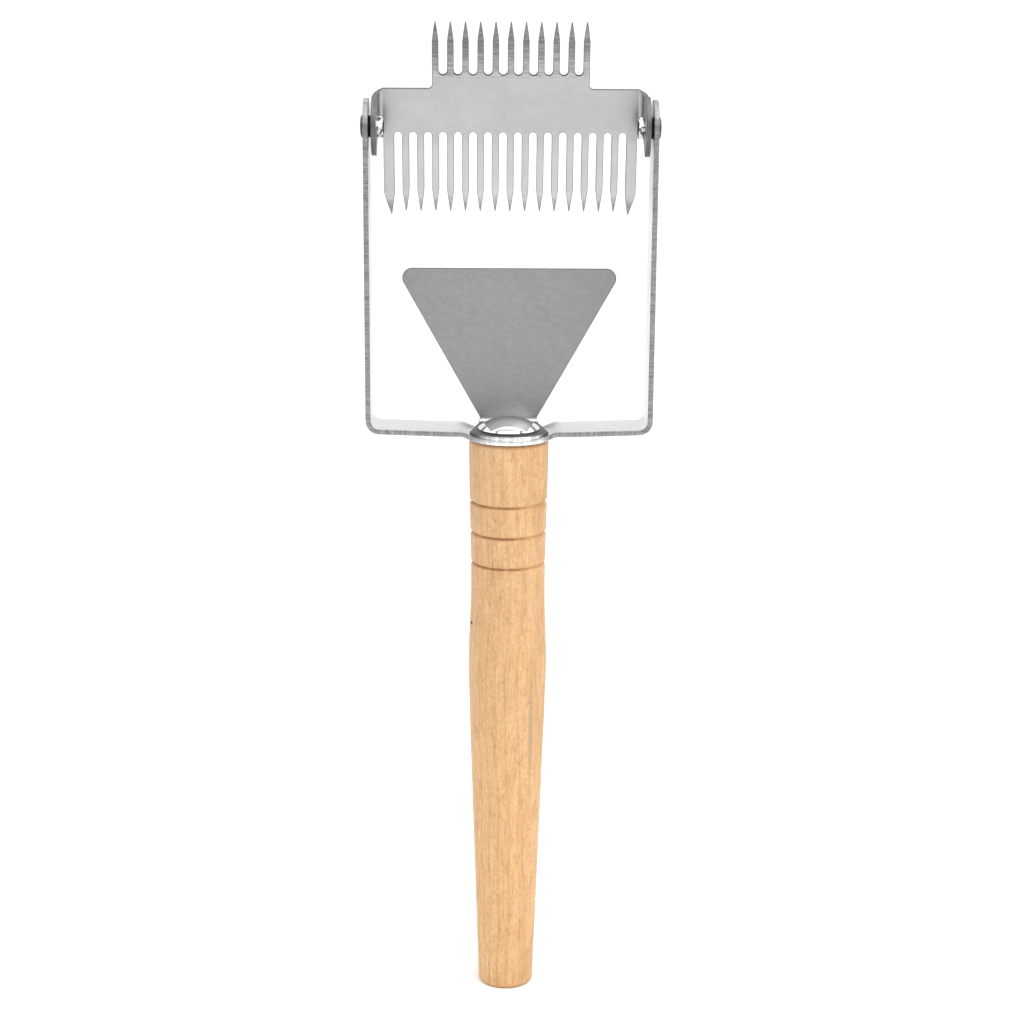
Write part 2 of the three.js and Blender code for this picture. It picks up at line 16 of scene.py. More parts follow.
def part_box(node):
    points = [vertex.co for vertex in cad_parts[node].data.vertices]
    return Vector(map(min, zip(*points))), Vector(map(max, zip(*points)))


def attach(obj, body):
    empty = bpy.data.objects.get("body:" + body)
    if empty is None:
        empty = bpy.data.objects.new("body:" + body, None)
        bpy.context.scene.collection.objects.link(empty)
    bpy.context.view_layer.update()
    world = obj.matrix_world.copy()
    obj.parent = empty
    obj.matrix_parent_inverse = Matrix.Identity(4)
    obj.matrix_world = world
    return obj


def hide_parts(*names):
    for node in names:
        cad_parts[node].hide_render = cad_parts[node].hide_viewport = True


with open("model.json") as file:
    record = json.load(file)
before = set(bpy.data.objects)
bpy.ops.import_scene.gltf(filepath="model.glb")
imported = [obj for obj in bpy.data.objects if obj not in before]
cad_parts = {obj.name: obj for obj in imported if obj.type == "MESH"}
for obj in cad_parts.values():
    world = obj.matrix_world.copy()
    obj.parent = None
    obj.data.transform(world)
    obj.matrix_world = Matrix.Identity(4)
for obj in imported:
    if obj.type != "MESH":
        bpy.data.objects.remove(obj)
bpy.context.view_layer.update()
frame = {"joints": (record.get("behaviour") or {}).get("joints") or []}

MM = 0.001
SAME_POINT = 1e-4  # points closer than this, in millimetres, are one


def corners(node):
    """Lowest and highest corner of a CAD node, in millimetres."""
    low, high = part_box(node)
    return low / MM, high / MM


# Sizes taken from the frame
HANDLE_HIGH = corners("handle")[1]
STRAP_LOW, STRAP_HIGH = corners("frame_strap")
BLADE_LOW, BLADE_HIGH = corners("scraper_blade")
BOLT_LOW, BOLT_HIGH = corners("handle_bolt")
COMB_HIGH = corners("comb_head")[1]
SCREW_LOW, SCREW_HIGH = corners("pivot_screw_right")
WASHER_LOW, WASHER_HIGH = corners("friction_washer_right")
NUT_LOW, NUT_HIGH = corners("pivot_nut_right")
PIVOT = Vector(frame["joints"][0]["pos_m"]) / MM

# Fineness of the meshes: steps round a hole, round a slot's end or a corner, round a small fillet,
# over a sheet's rounded rim, and down a tine's point
HOLE_STEPS = 32
ROUND_STEPS = 14
FILLET_STEPS = 6
RIM_STEPS = 3
POINT_STEPS = 5

# Handle
HANDLE_LENGTH = HANDLE_HIGH.z
HANDLE_TOP_RADIUS = HANDLE_HIGH.x
HANDLE_NECK_RADIUS = 11.1
HANDLE_BELLY_RADIUS = HANDLE_TOP_RADIUS
HANDLE_TAPER_RADIUS = 11.45
HANDLE_BUTT_RADIUS = 8.4
HANDLE_NECK_Z = 130
HANDLE_BELLY_Z = 104
HANDLE_TAPER_Z = 90
BUTT_FILLET = 1.3
TOP_FILLET = 0.25
GROOVES = (155.6, 146.2, 136.8)
GROOVE_DEPTH = 0.75
GROOVE_HALF_WIDTH = 0.9
GROOVE_LIP = 1.15  # half widths from the groove's middle to the end of its softened lip
GROOVE_SHARPNESS = 1.2
GROOVE_MESH_REACH = 1.2  # half height of the finely stepped stretch at a groove
BORE_RADIUS = 2.7
BORE_DEPTH = 46
BORE_CONE = 2

# Strap frame: a level crossbar that slopes up a little beyond BAR_SLOPE_X, then bends into the arms
STRAP_THICKNESS = 1.5
STRAP_HALF_DEPTH = 8
STRAP_HALF_WIDTH = STRAP_HIGH.x
STRAP_CORNER_RADIUS = 4
STRAP_MIDDLE_RADIUS = STRAP_CORNER_RADIUS - STRAP_THICKNESS / 2
STRAP_RIM = 0.22
BAR_TOP_Z = 178
BAR_SLOPE = radians(1.8)
BAR_SLOPE_X = 18
BAR_SLOPE_END = BAR_SLOPE_X + 0.6
BAR_REACH = STRAP_HALF_WIDTH - STRAP_THICKNESS / 2 - BAR_SLOPE_END
BAR_STRAIGHT = (BAR_REACH - STRAP_MIDDLE_RADIUS * (1 - sin(BAR_SLOPE))) / cos(BAR_SLOPE)
STRAP_BEND_START = BAR_SLOPE_END + BAR_STRAIGHT
STRAP_BEND_LENGTH = STRAP_MIDDLE_RADIUS * (pi / 2 - BAR_SLOPE)
STRAP_BEND_END = STRAP_BEND_START + STRAP_BEND_LENGTH
BOSS_RADIUS = STRAP_HIGH.y
BOSS_FILLET = 2.5
PRESSED_FROM = 12.4
PRESSED_TO = 15.7
PRESSED_SOFTNESS = 0.22
PRESSED_REACH = 17.5  # half length of the finely cut middle, past the end of the pressed dish
ARM_HOLE_RADIUS = 2.2

# Comb head, in its own frame: the pivot axis at the origin, the plate behind it
HEAD_LEAN = radians(8)
PLATE_THICKNESS = 1.5
PLATE_OFFSET = 7.5
PLATE_TOP = 9.6
PLATE_HALF_WIDTH = 36.8
PLATE_RIM = 0.14
EAR_OUTER_X = COMB_HIGH.x
EAR_RADIUS = 8.8
EAR_FOOT = -2.6
EAR_HOLE_RADIUS = 2.08
EAR_ROUND_FROM = radians(58)
EAR_ROUND_TO = radians(236)
EAR_BEND_OUTER = EAR_OUTER_X - PLATE_HALF_WIDTH
EAR_BEND_MIDDLE = EAR_BEND_OUTER - PLATE_THICKNESS / 2
EAR_BEND_LENGTH = EAR_BEND_MIDDLE * pi / 2
EAR_BEND_Y = PLATE_OFFSET + PLATE_THICKNESS / 2 - EAR_BEND_OUTER
EAR_PIVOT_X = PLATE_HALF_WIDTH + EAR_BEND_LENGTH + EAR_BEND_Y
TINE_PITCH = 4.34
TINE_WIDTH = 2.02
UPPER_TINE_WIDTH = 1.86
TINE_TIP_WIDTH = 0.28
POINT_CURVE = 1.15
UPPER_TINES = 11
LOWER_TINES = 15
UPPER_SLOT_Z = 13.55
UPPER_TIP_Z = 28.55
UPPER_POINT = 5.6
UPPER_SHOULDER_Z = UPPER_TIP_Z - UPPER_POINT
LOWER_SLOT_Z = -2.9
LOWER_TIP_Z = -26.25
LOWER_POINT = 6.6
OUTER_TINE_EXTRA = 1
OUTER_TIP_Z = LOWER_TIP_Z - OUTER_TINE_EXTRA
OUTER_TIP_INSET = 2.15
BLOCK_FILLET = 1.2

# Scraper blade
BLADE_THICKNESS = 1
BLADE_RIM = 0.18
BLADE_FRONT_Y = BLADE_HIGH.y - BLADE_THICKNESS
BLADE_TOP_Z = BLADE_HIGH.z
BLADE_HALF_TOP = BLADE_HIGH.x
BLADE_HALF_WAIST = 8.6
BLADE_CORNER_RADIUS = 2.95
FOOT_RADIUS = -BLADE_LOW.y
FOOT_FLARE = 0.2
FOOT_TOP_Z = BLADE_LOW.z + BLADE_THICKNESS
BLADE_BEND_RADIUS = 1.45
BLADE_MIDDLE_RADIUS = BLADE_BEND_RADIUS + BLADE_THICKNESS / 2
BLADE_BEND_Y = BLADE_FRONT_Y - BLADE_BEND_RADIUS
BLADE_BEND_Z = FOOT_TOP_Z + BLADE_BEND_RADIUS
BLADE_BEND_LENGTH = BLADE_MIDDLE_RADIUS * pi / 2

# Bolt and pivot pieces
BOLT_HEAD_Z = FOOT_TOP_Z + 0.05
BOLT_HEAD_RADIUS = BOLT_HIGH.x
BOLT_RIM = 0.45
BOLT_SHANK_RADIUS = 2.5
SCREW_SHANK_RADIUS = 2
SCREW_HEAD_RADIUS = 3.15
SCREW_HEAD_SIDE = 0.5  # share of the head's height below its rounding
SCREW_HEAD_ROUNDING = 0.73
SCREW_SEAT_X = STRAP_HALF_WIDTH + 0.02
RECESS_ARM = 3.2
RECESS_WIDTH = 0.7
RECESS_DEPTH = 0.6
RECESS_TAPER = 0.55
WASHER_BEVEL = 0.08
NUT_CHAMFER = 0.45
NUT_CHAMFER_HEIGHT = 0.315
NUT_COUNTERSINK = 0.3

# Colours
STEEL_TINT = (1.0, 0.998, 0.992)
WOOD_PALE = (0.90, 0.66, 0.40)
WOOD_LIGHT = (0.82, 0.525, 0.28)
WOOD_MAIN = (0.74, 0.43, 0.20)
WOOD_PINK = (0.78, 0.42, 0.235)
WOOD_YELLOW = (0.80, 0.52, 0.19)
# The next colour is painted light, for the lower handle
WOOD_LOW_LIGHT = (0.93, 0.55, 0.235)
# The next colour is painted shade, for the handle's left side
WOOD_SIDE_SHADE = (0.60, 0.41, 0.26)
WOOD_BROWN = (0.60, 0.32, 0.135)
WOOD_DARK = (0.52, 0.28, 0.12)
WOOD_PORE = (0.34, 0.17, 0.07)
WOOD_GREY = (0.42, 0.30, 0.19)
# The next colour is painted shade, for the grooves and under the collar
WOOD_DEEP_SHADE = (0.30, 0.13, 0.045)
WOOD_BLACK = (0.006, 0.005, 0.004)

# Marks in the wood
PITH = (46, -30, 0)  # from the growth rings' centre, beside the handle, to its axis
RING_WIDTH = 2.6
SPECK = (-10.95, -3.4, 118.25)
CRACK = (-4.7, -10.1, 136)
STREAK = (6.95, -8.7, 86)

# Stage: the floor in metres, the camera in millimetres
FLOOR_HALF = 40.0
CAMERA_TARGET = (1.1, 0, 151.9)
CAMERA_DISTANCE = 631.8
CAMERA_ELEVATION = radians(14.2)
CAMERA_YAW = radians(-0.88)
CAMERA_ROLL = radians(0.4)
CAMERA_LENS = 74.23


# Mesh helpers
def arc(centre, radius, start, end, steps):
    """Points on an arc, both ends included; angles in radians."""
    points = []
    for step in range(steps + 1):
        angle = start + (end - start) * step / steps
        points.append((centre[0] + radius * cos(angle), centre[1] + radius * sin(angle)))
    return points


def circle(radius, steps, start=0):
    """An anticlockwise loop round the origin."""
    return arc((0, 0), radius, start, start + 2 * pi, steps)[:-1]


def hole(x, y, radius):
    """The loop of a round hole, which runs clockwise."""
    return arc((x, y), radius, 0, -2 * pi, HOLE_STEPS)[:-1]


def smoothstep(value, low, high):
    share = min(1, max(0, (value - low) / (high - low)))
    return share * share * (3 - 2 * share)


def without_repeats(points):
    """Drops a point that lies on the one before it."""
    kept = []
    for point in points:
        if not kept or dist(point, kept[-1]) > SAME_POINT:
            kept.append(point)
    if dist(kept[0], kept[-1]) < SAME_POINT:
        kept.pop()
    return kept


def inset(points, distance):
    """The loop moved to its left by a distance, with mitred corners."""
    moved = []
    count = len(points)
    for index, point in enumerate(points):
        here = Vector(point)
        into = (here - Vector(points[index - 1])).normalized()
        out = (Vector(points[(index + 1) % count]) - here).normalized()
        left_in = Vector((-into.y, into.x))
        left_out = Vector((-out.y, out.x))
        moved.append(here + distance * (left_in + left_out) / (1 + left_in.dot(left_out)))
    return moved


def add_cap(mesh, rings, upward):
    """One flat face between the loops of a sheet, as triangles, or as one face if there is no hole."""
    if len(rings) == 1:
        faces = [mesh.faces.new(rings[0])]
    else:
        vertices = [vertex for ring in rings for vertex in ring]
        triangles = tessellate_polygon([[vertex.co for vertex in ring] for ring in rings])
        faces = [mesh.faces.new([vertices[index] for index in triangle]) for triangle in triangles]
    for face in faces:
        face.normal_update()
        if (face.normal.z > 0) != upward:
            face.normal_flip()


def sheet(outline, holes, thickness, rounding):
    """A flat plate with its middle plane at z = 0 and a rounded rim. The outline runs anticlockwise and
    the holes clockwise. Faces on the rim get material 1 and the two flat sides material 0."""
    mesh = bmesh.new()
    half = thickness / 2
    profile = []
    for angle in spread(0, pi / 2, RIM_STEPS):
        profile.append((rounding * (1 - sin(angle)), half - rounding * (1 - cos(angle))))
    profile += [(depth, -height) for depth, height in reversed(profile)]
    tops, bottoms = [], []
    for loop in [outline] + holes:
        loop = without_repeats(loop)
        rings = []
        for depth, height in profile:
            rings.append([mesh.verts.new((*point, height)) for point in inset(loop, depth)])
        for upper, lower in zip(rings, rings[1:]):
            for index in range(len(upper)):
                after = (index + 1) % len(upper)
                face = mesh.faces.new((upper[index], lower[index], lower[after], upper[after]))
                face.material_index = 1
        tops.append(rings[0])
        bottoms.append(rings[-1])
    add_cap(mesh, tops, True)
    add_cap(mesh, bottoms, False)
    for face in mesh.faces:
        face.smooth = True
    return mesh


def cut(mesh, axis, places, within=lambda centre: True):
    """Adds edges where the planes at these places cross the mesh, so that it can bend there. Only the
    faces whose centres are within the part to cut are split."""
    normal = Vector((0, 0, 0))
    normal[axis] = 1
    for place in places:
        faces = [face for face in mesh.faces if within(face.calc_center_median())]
        edges = dict.fromkeys(edge for face in faces for edge in face.edges)
        vertices = dict.fromkeys(vertex for face in faces for vertex in face.verts)
        geometry = [*vertices, *edges, *faces]
        origin = place * normal
        bmesh.ops.bisect_plane(
            mesh, geom=geometry, dist=SAME_POINT / 10, plane_co=origin, plane_no=normal
        )


def spread(start, end, count):
    """Evenly spaced values, both ends included."""
    return [start + (end - start) * step / count for step in range(count + 1)]


def sharpen_rims(mesh):
    """Keeps a sheet's flat sides and its rim from shading into each other."""
    for edge in mesh.edges:
        rims = [face.material_index == 1 for face in edge.link_faces]
        if True in rims and False in rims:
            edge.smooth = False


def keep_flat(mesh, is_bent):
    """Shades the parts of a sheet's two sides as planes, but for those where is_bent says it curves."""
    for face in mesh.faces:
        if face.material_index == 0 and not is_bent(face.calc_center_median()):
            face.smooth = False


def bend(mesh, mapping):
    """Moves every point of a flat sheet to where the mapping puts it."""
    for vertex in mesh.verts:
        vertex.co = Vector(mapping(*vertex.co))


def lathe(profile, segments, closed=False):
    """A profile of (radius, height) turned about the Z axis. An open one starts and ends on the axis,
    and a closed one makes a ring."""
    mesh = bmesh.new()
    rings = []
    for radius, height in profile:
        loop = circle(radius, segments) if radius else [(0, 0)]
        rings.append([mesh.verts.new((*point, height)) for point in loop])
    if closed:
        rings.append(rings[0])
    for lower, upper in zip(rings, rings[1:]):
        for index in range(segments):
            after = (index + 1) % segments
            face = [lower[index % len(lower)], lower[after % len(lower)]]
            face += [upper[after % len(upper)], upper[index % len(upper)]]
            mesh.faces.new(dict.fromkeys(face))
    bmesh.ops.recalc_face_normals(mesh, faces=mesh.faces)
    return mesh


def along_x(mesh):
    """Turns a mesh made about the Z axis onto the pivot axis: its height becomes X."""
    turn = Matrix.Rotation(pi / 2, 4, "Y")
    bmesh.ops.transform(mesh, matrix=Matrix.Translation(PIVOT) @ turn, verts=mesh.verts)
    return mesh


def mirror(mesh):
    for vertex in mesh.verts:
        vertex.co.x *= -1
    bmesh.ops.reverse_faces(mesh, faces=mesh.faces)


def new_object(name, data):
    made = bpy.data.objects.new(name, data)
    bpy.context.scene.collection.objects.link(made)
    return made


def boolean(mesh, cutter, operation):
    """The mesh joined with, cut by or kept within another closed mesh."""
    objects = []
    for part in (mesh, cutter):
        data = bpy.data.meshes.new("boolean")
        part.to_mesh(data)
        part.free()
        objects.append(new_object("boolean", data))
    modifier = objects[0].modifiers.new("boolean", "BOOLEAN")
    modifier.operation = operation
    modifier.solver = "EXACT"
    modifier.object = objects[1]
    depsgraph = bpy.context.evaluated_depsgraph_get()
    result = bmesh.new()
    result.from_mesh(objects[0].evaluated_get(depsgraph).to_mesh())
    for obj in objects:
        data = obj.data
        bpy.data.objects.remove(obj)
        bpy.data.meshes.remove(data)
    return result


def new_piece(name, mesh, materials, node, body, sharp_angle=None):
    """Turns a mesh in millimetres into a Blender object in metres that stands for a CAD node. With a
    sharp angle, edges below it are shaded smooth; without one, the mesh keeps its own shading."""
    bmesh.ops.scale(mesh, vec=(MM, MM, MM), verts=mesh.verts)
    data = bpy.data.meshes.new(name)
    mesh.to_mesh(data)
    mesh.free()
    for material in materials:
        data.materials.append(material)
    if sharp_angle is not None:
        data.shade_smooth()
        data.set_sharp_from_angle(angle=sharp_angle)
    piece = new_object(name, data)
    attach(piece, body)
    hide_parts(node)


# Node helpers
class Nodes:
    """Short calls for building a node tree."""

    def __init__(self, tree):
        self.tree = tree
        tree.nodes.clear()

    def feed(self, value, target):
        """Gives an input its value, or links it to another node's output."""
        if isinstance(value, bpy.types.NodeSocket):
            self.tree.links.new(value, target)
        else:
            target.default_value = value

    def add(self, kind, inputs=(), operation=None):
        """A new node; its inputs are pairs of a name or number and a value or a socket."""
        node = self.tree.nodes.new("ShaderNode" + kind)
        if operation:
            node.operation = operation
        for name, value in inputs:
            self.feed(value, node.inputs[name])
        return node

    def math(self, operation, *values):
        return self.add("Math", enumerate(values), operation).outputs["Value"]

    def product(self, *factors):
        result = factors[0]
        for factor in factors[1:]:
            result = self.math("MULTIPLY", result, factor)
        return result

    def ramp(self, value, from_low, from_high, to_low=0.0, to_high=1.0, smooth=True):
        """The value mapped from one range onto another and clamped to it."""
        names = ("Value", "From Min", "From Max", "To Min", "To Max")
        node = self.add("MapRange", zip(names, (value, from_low, from_high, to_low, to_high)))
        node.interpolation_type = "SMOOTHSTEP" if smooth else "LINEAR"
        return node.outputs["Result"]

    def vector(self, operation, *values):
        """The vector that an operation on vectors gives, or its number."""
        node = self.add("VectorMath", enumerate(values), operation)
        return node.outputs["Value" if operation in ("DOT_PRODUCT", "LENGTH") else "Vector"]


class Material(Nodes):
    """Short calls for building one material in object coordinates, in millimetres."""

    def __init__(self, name):
        self.material = bpy.data.materials.new(name)
        self.material.use_nodes = True
        super().__init__(self.material.node_tree)
        self.shader = self.add("BsdfPrincipled")
        self.add("OutputMaterial", [("Surface", self.shader.outputs["BSDF"])])
        metres = self.add("TexCoord").outputs["Object"]
        self.place = self.add("VectorMath", [(0, metres), ("Scale", 1 / MM)], "SCALE").outputs["Vector"]

    def noise(self, size, detail=2.0, roughness=0.5, offset=(0, 0, 0)):
        """Noise from 0 to 1 whose blotches have about this size in millimetres on each axis."""
        scale = [1 / length for length in size]
        mapping = self.add("Mapping", [("Vector", self.place), ("Location", offset), ("Scale", scale)])
        inputs = [("Vector", mapping.outputs["Vector"]), ("Scale", 1.0)]
        inputs += [("Detail", detail), ("Roughness", roughness)]
        return self.add("TexNoise", inputs).outputs["Fac"]

    def axis(self, name):
        return self.add("SeparateXYZ", [("Vector", self.place)]).outputs[name]

    def mix(self, share, first, second, blend="MIX"):
        """Two colours mixed; a colour is a triple or a socket."""
        node = self.add("Mix", [("Factor", share)])
        node.data_type = "RGBA"
        node.blend_type = blend
        colour_inputs = [socket for socket in node.inputs if socket.type == "RGBA"]
        for value, target in zip((first, second), colour_inputs):
            self.feed((*value, 1) if isinstance(value, tuple) else value, target)
        return [socket for socket in node.outputs if socket.type == "RGBA"][0]

    def grey(self, level):
        channels = [(channel, level) for channel in ("Red", "Green", "Blue")]
        return self.add("CombineColor", channels).outputs["Color"]

    def bump(self, height, depth, strength):
        """Relief of this depth in millimetres where the height runs from 0 to 1."""
        relief = self.add("Bump", [("Height", height), ("Distance", depth * MM), ("Strength", strength)])
        self.feed(relief.outputs["Normal"], self.shader.inputs["Normal"])

    def finish(self, colour, roughness, **sockets):
        self.feed(colour, self.shader.inputs["Base Color"])
        self.feed(roughness, self.shader.inputs["Roughness"])
        for name, value in sockets.items():
            self.feed(value, self.shader.inputs[name.replace("_", " ")])
        return self.material

    def finish_steel(self, level, roughness):
        """Bare steel of this brightness, very faintly warm."""
        colour = self.mix(1.0, self.grey(level), STEEL_TINT, "MULTIPLY")
        return self.finish(colour, roughness, Metallic=1.0)


# Materials
def brushed_steel(name, tone, roughness, streak, contrast, foot_z=None):
    """Steel with fine brushing; streak is the size of one brush mark on each axis, in millimetres.
    A foot at the height foot_z is darkened with painted shade, and the bend just above it has painted
    shade in its middle and a painted highlight towards its ends."""
    nodes = Material(name)
    marks = nodes.noise(streak, detail=4.0, roughness=0.65)
    coarse = nodes.noise([length * 4 for length in streak], offset=(7, 3, 11))
    smudge = nodes.noise((14, 14, 11), detail=3.0, offset=(3, 9, 1))
    level = nodes.product(
        nodes.ramp(marks, 0.25, 0.75, 1 - contrast, 1 + contrast, smooth=False),
        nodes.ramp(coarse, 0.3, 0.7, 1 - contrast / 2, 1 + contrast / 2),
        nodes.ramp(smudge, 0.3, 0.7, 0.97, 1.03),
    )
    if foot_z is not None:
        # Painted shade on the foot, and painted shade and highlight across the bend above it
        above = nodes.math("SUBTRACT", nodes.axis("Z"), foot_z)
        tint_and_shade = nodes.ramp(above, 0.1, 0.4, 0.55, 1.0)
        painted_light_mask = nodes.product(nodes.ramp(above, 0.1, 0.4), nodes.ramp(above, 1.6, 0.9))
        shade_middle_highlight_ends = nodes.ramp(nodes.math("ABSOLUTE", nodes.axis("X")), 3.5, 5.5, -0.6, 0.7)
        level = nodes.product(level, tint_and_shade, nodes.math("MULTIPLY_ADD", painted_light_mask, shade_middle_highlight_ends, 1.0))
    rough = nodes.ramp(marks, 0.25, 0.75, roughness - 0.05, roughness + 0.05, smooth=False)
    rough = nodes.math("ADD", rough, nodes.ramp(smudge, 0.35, 0.65, -0.02, 0.03))
    nodes.bump(marks, 0.004, 0.6)
    return nodes.finish_steel(nodes.product(level, tone), rough)


def comb_height(nodes):
    """Height above the pivot axis along the comb head's own upright."""
    from_pivot = nodes.vector("SUBTRACT", nodes.place, PIVOT)
    return nodes.vector("DOT_PRODUCT", from_pivot, (0, -sin(HEAD_LEAN), cos(HEAD_LEAN)))


def comb_steel(name, tone, roughness):
    """Cross-brushed sheet with grinding lines on the short tines, which carry painted shade up their
    shanks, a painted highlight on their points and a painted reflection that is lighter to the right.
    Painted light brightens the long tines, which get darker towards their tips, and painted shade
    darkens the ears."""
    nodes = Material(name)
    marks = nodes.noise((6, 6, 0.12), detail=4.0, roughness=0.65)
    cloud = nodes.noise((12, 12, 9), detail=3.0, offset=(3, 9, 1))
    patches = nodes.noise((2.6, 2.6, 1.3), detail=3.0, offset=(1, 5, 7))
    grinding = nodes.noise((5, 5, 0.4), offset=(2, 6, 2))
    height = comb_height(nodes)
    uneven = nodes.math("ADD", height, nodes.ramp(patches, 0.3, 0.7, -0.7, 0.7))
    across = nodes.axis("X")
    out = nodes.math("ABSOLUTE", across)
    worn = nodes.ramp(height, UPPER_SLOT_Z - 2, UPPER_SLOT_Z + 1)
    # Painted reflection: the short tines are lighter to the right
    sideways_reflection = nodes.ramp(across, -22, 22, 0.9, 1.1, smooth=False)
    lines = nodes.ramp(grinding, 0.35, 0.65, -0.24, 0.24)
    fine = nodes.ramp(marks, 0.25, 0.75, -1.0, 1.0, smooth=False)

    # Painted shade up the short tines' shanks and a painted highlight on their points, over grinding
    # lines
    short_tines = nodes.product(
        nodes.ramp(uneven, UPPER_SLOT_Z - 1.2, UPPER_SLOT_Z + 1.6, 1.0, 0.76),
        nodes.ramp(uneven, UPPER_SLOT_Z + 2, UPPER_SHOULDER_Z - 1, 1.0, 0.64),
        nodes.ramp(uneven, UPPER_SHOULDER_Z - 0.2, UPPER_SHOULDER_Z + 1.2, 1.0, 1.35),
        nodes.math("POWER", sideways_reflection, nodes.ramp(height, UPPER_SLOT_Z, UPPER_SLOT_Z + 3)),
        nodes.math("MULTIPLY_ADD", lines, worn, 1.0),
    )
    # Painted light brightening the long tines, which also get darker towards their tips
    long_tines = nodes.product(
        nodes.ramp(height, -3, -9, 1.0, 1.1),
        nodes.ramp(uneven, LOWER_TIP_Z + 5.4, LOWER_TIP_Z + 0.8, 1.0, 0.55),
    )
    # Painted shade on the ears and their bends
    ears = nodes.ramp(out, PLATE_HALF_WIDTH + 0.1, PLATE_HALF_WIDTH + 1.2, 1.0, 0.72)
    brushing = nodes.product(
        nodes.math("MULTIPLY_ADD", fine, nodes.math("MULTIPLY_ADD", worn, 0.13, 0.03), 1.0),
        nodes.ramp(cloud, 0.3, 0.7, 0.965, 1.035),
        nodes.ramp(patches, 0.3, 0.7, 0.975, 1.025),
    )
    rough = nodes.ramp(marks, 0.25, 0.75, roughness - 0.05, roughness + 0.05, smooth=False)
    nodes.bump(marks, 0.005, 0.6)
    return nodes.finish_steel(nodes.product(brushing, short_tines, long_tines, ears, tone), rough)


def sheared_edge(name, tone, bend_x=None, highlight_x=None, painted_root_shade=False):
    """The cut rim of a steel sheet, torn and striped across. Beyond bend_x the sheet stands upright, and
    so its stripes lie flat. Near the boss, up to the given distance from the middle, the rim is smoother
    and carries a painted reflection, both less so at its left end. Where asked, painted shade darkens
    the bottoms of the slots between the comb's short tines."""
    nodes = Material(name)
    torn = nodes.noise((0.7, 0.7, 0.7), detail=4.0, roughness=0.7)
    stripes = nodes.noise((0.3, 6, 6), detail=3.0, roughness=0.65, offset=(5, 1, 2))
    across = nodes.axis("X")
    out = nodes.math("ABSOLUTE", across)
    if bend_x is not None:
        lying = nodes.noise((6, 6, 0.3), detail=3.0, roughness=0.65, offset=(4, 7, 2))
        upright = nodes.ramp(out, bend_x - 1, bend_x + 1)
        standing = nodes.product(stripes, nodes.math("SUBTRACT", 1.0, upright))
        stripes = nodes.math("MULTIPLY_ADD", lying, upright, standing)
    level = nodes.product(
        nodes.ramp(torn, 0.3, 0.7, 0.85, 1.15), nodes.ramp(stripes, 0.3, 0.7, 0.68, 1.32), tone
    )
    rough = nodes.ramp(torn, 0.3, 0.7, 0.4, 0.6)
    if painted_root_shade:
        # Painted shade at the bottoms of the slots between the short tines
        from_root = nodes.math("ABSOLUTE", nodes.math("SUBTRACT", comb_height(nodes), UPPER_SLOT_Z))
        level = nodes.product(level, nodes.ramp(from_root, 1.0, 2.0, 0.08, 1.0))
    if highlight_x is not None:
        # Painted reflection near the boss: the rim is painted brighter there, less so at its left end,
        # and made smoother with less relief
        painted_light_mask = nodes.product(
            nodes.ramp(out, highlight_x, highlight_x - 2.5),
            nodes.ramp(across, -highlight_x, -highlight_x / 3, 0.1, 1.0),
            nodes.ramp(nodes.axis("Z"), BAR_TOP_Z + 5, BAR_TOP_Z + 3),
        )
        wide = nodes.noise((0.9, 8, 8), detail=3.0, roughness=0.6, offset=(2, 2, 5))
        brighter = nodes.math("SUBTRACT", nodes.ramp(wide, 0.35, 0.65, 0.7, 0.95), level)
        level = nodes.math("MULTIPLY_ADD", painted_light_mask, brighter, level)
        rough = nodes.math("MULTIPLY_ADD", painted_light_mask, -0.22, rough)
        relief_left = nodes.math("MULTIPLY_ADD", painted_light_mask, -0.8, 1.0)
        torn = nodes.product(torn, relief_left)
        stripes = nodes.product(stripes, relief_left)
    nodes.bump(nodes.math("MULTIPLY_ADD", stripes, 0.6, torn), 0.05, 0.7)
    return nodes.finish_steel(level, rough)


def polished_steel(name, tone, roughness, tarnish=0.0):
    """Near-mirror steel with hairline scratches and faint finger marks, and dark spots where it has
    tarnished."""
    nodes = Material(name)
    scratches = nodes.noise((0.25, 4.0, 4.0), detail=5.0, roughness=0.7)
    marks = nodes.noise((3.5, 3.5, 3.5), detail=3.0, offset=(2, 8, 4))
    spots = nodes.noise((1.1, 1.1, 1.1), offset=(5, 1, 3))
    dark_spots = nodes.ramp(spots, 0.5, 0.42, 1.0, 1.0 - tarnish)
    level = nodes.product(nodes.ramp(marks, 0.3, 0.7, 0.97, 1.03), tone, dark_spots)
    rough = nodes.ramp(marks, 0.35, 0.7, roughness, roughness + 0.06)
    rough = nodes.math("ADD", rough, nodes.ramp(scratches, 0.55, 0.75, 0.0, 0.05))
    nodes.bump(scratches, 0.002, 0.3)
    return nodes.finish_steel(level, rough)


def black_fibre(name):
    """Dull black washer fibre with pale specks of dust."""
    nodes = Material(name)
    weave = nodes.noise((0.2, 0.5, 0.5), detail=3.0)
    dust = nodes.noise((0.6, 0.6, 0.6), detail=4.0, offset=(4, 4, 4))
    level = nodes.ramp(weave, 0.3, 0.7, 0.008, 0.02)
    level = nodes.math("ADD", level, nodes.ramp(dust, 0.6, 0.75, 0.0, 0.03))
    rough = nodes.ramp(weave, 0.3, 0.7, 0.5, 0.7)
    nodes.bump(weave, 0.03, 0.6)
    return nodes.finish(nodes.grey(level), rough, Specular_IOR_Level=0.4)


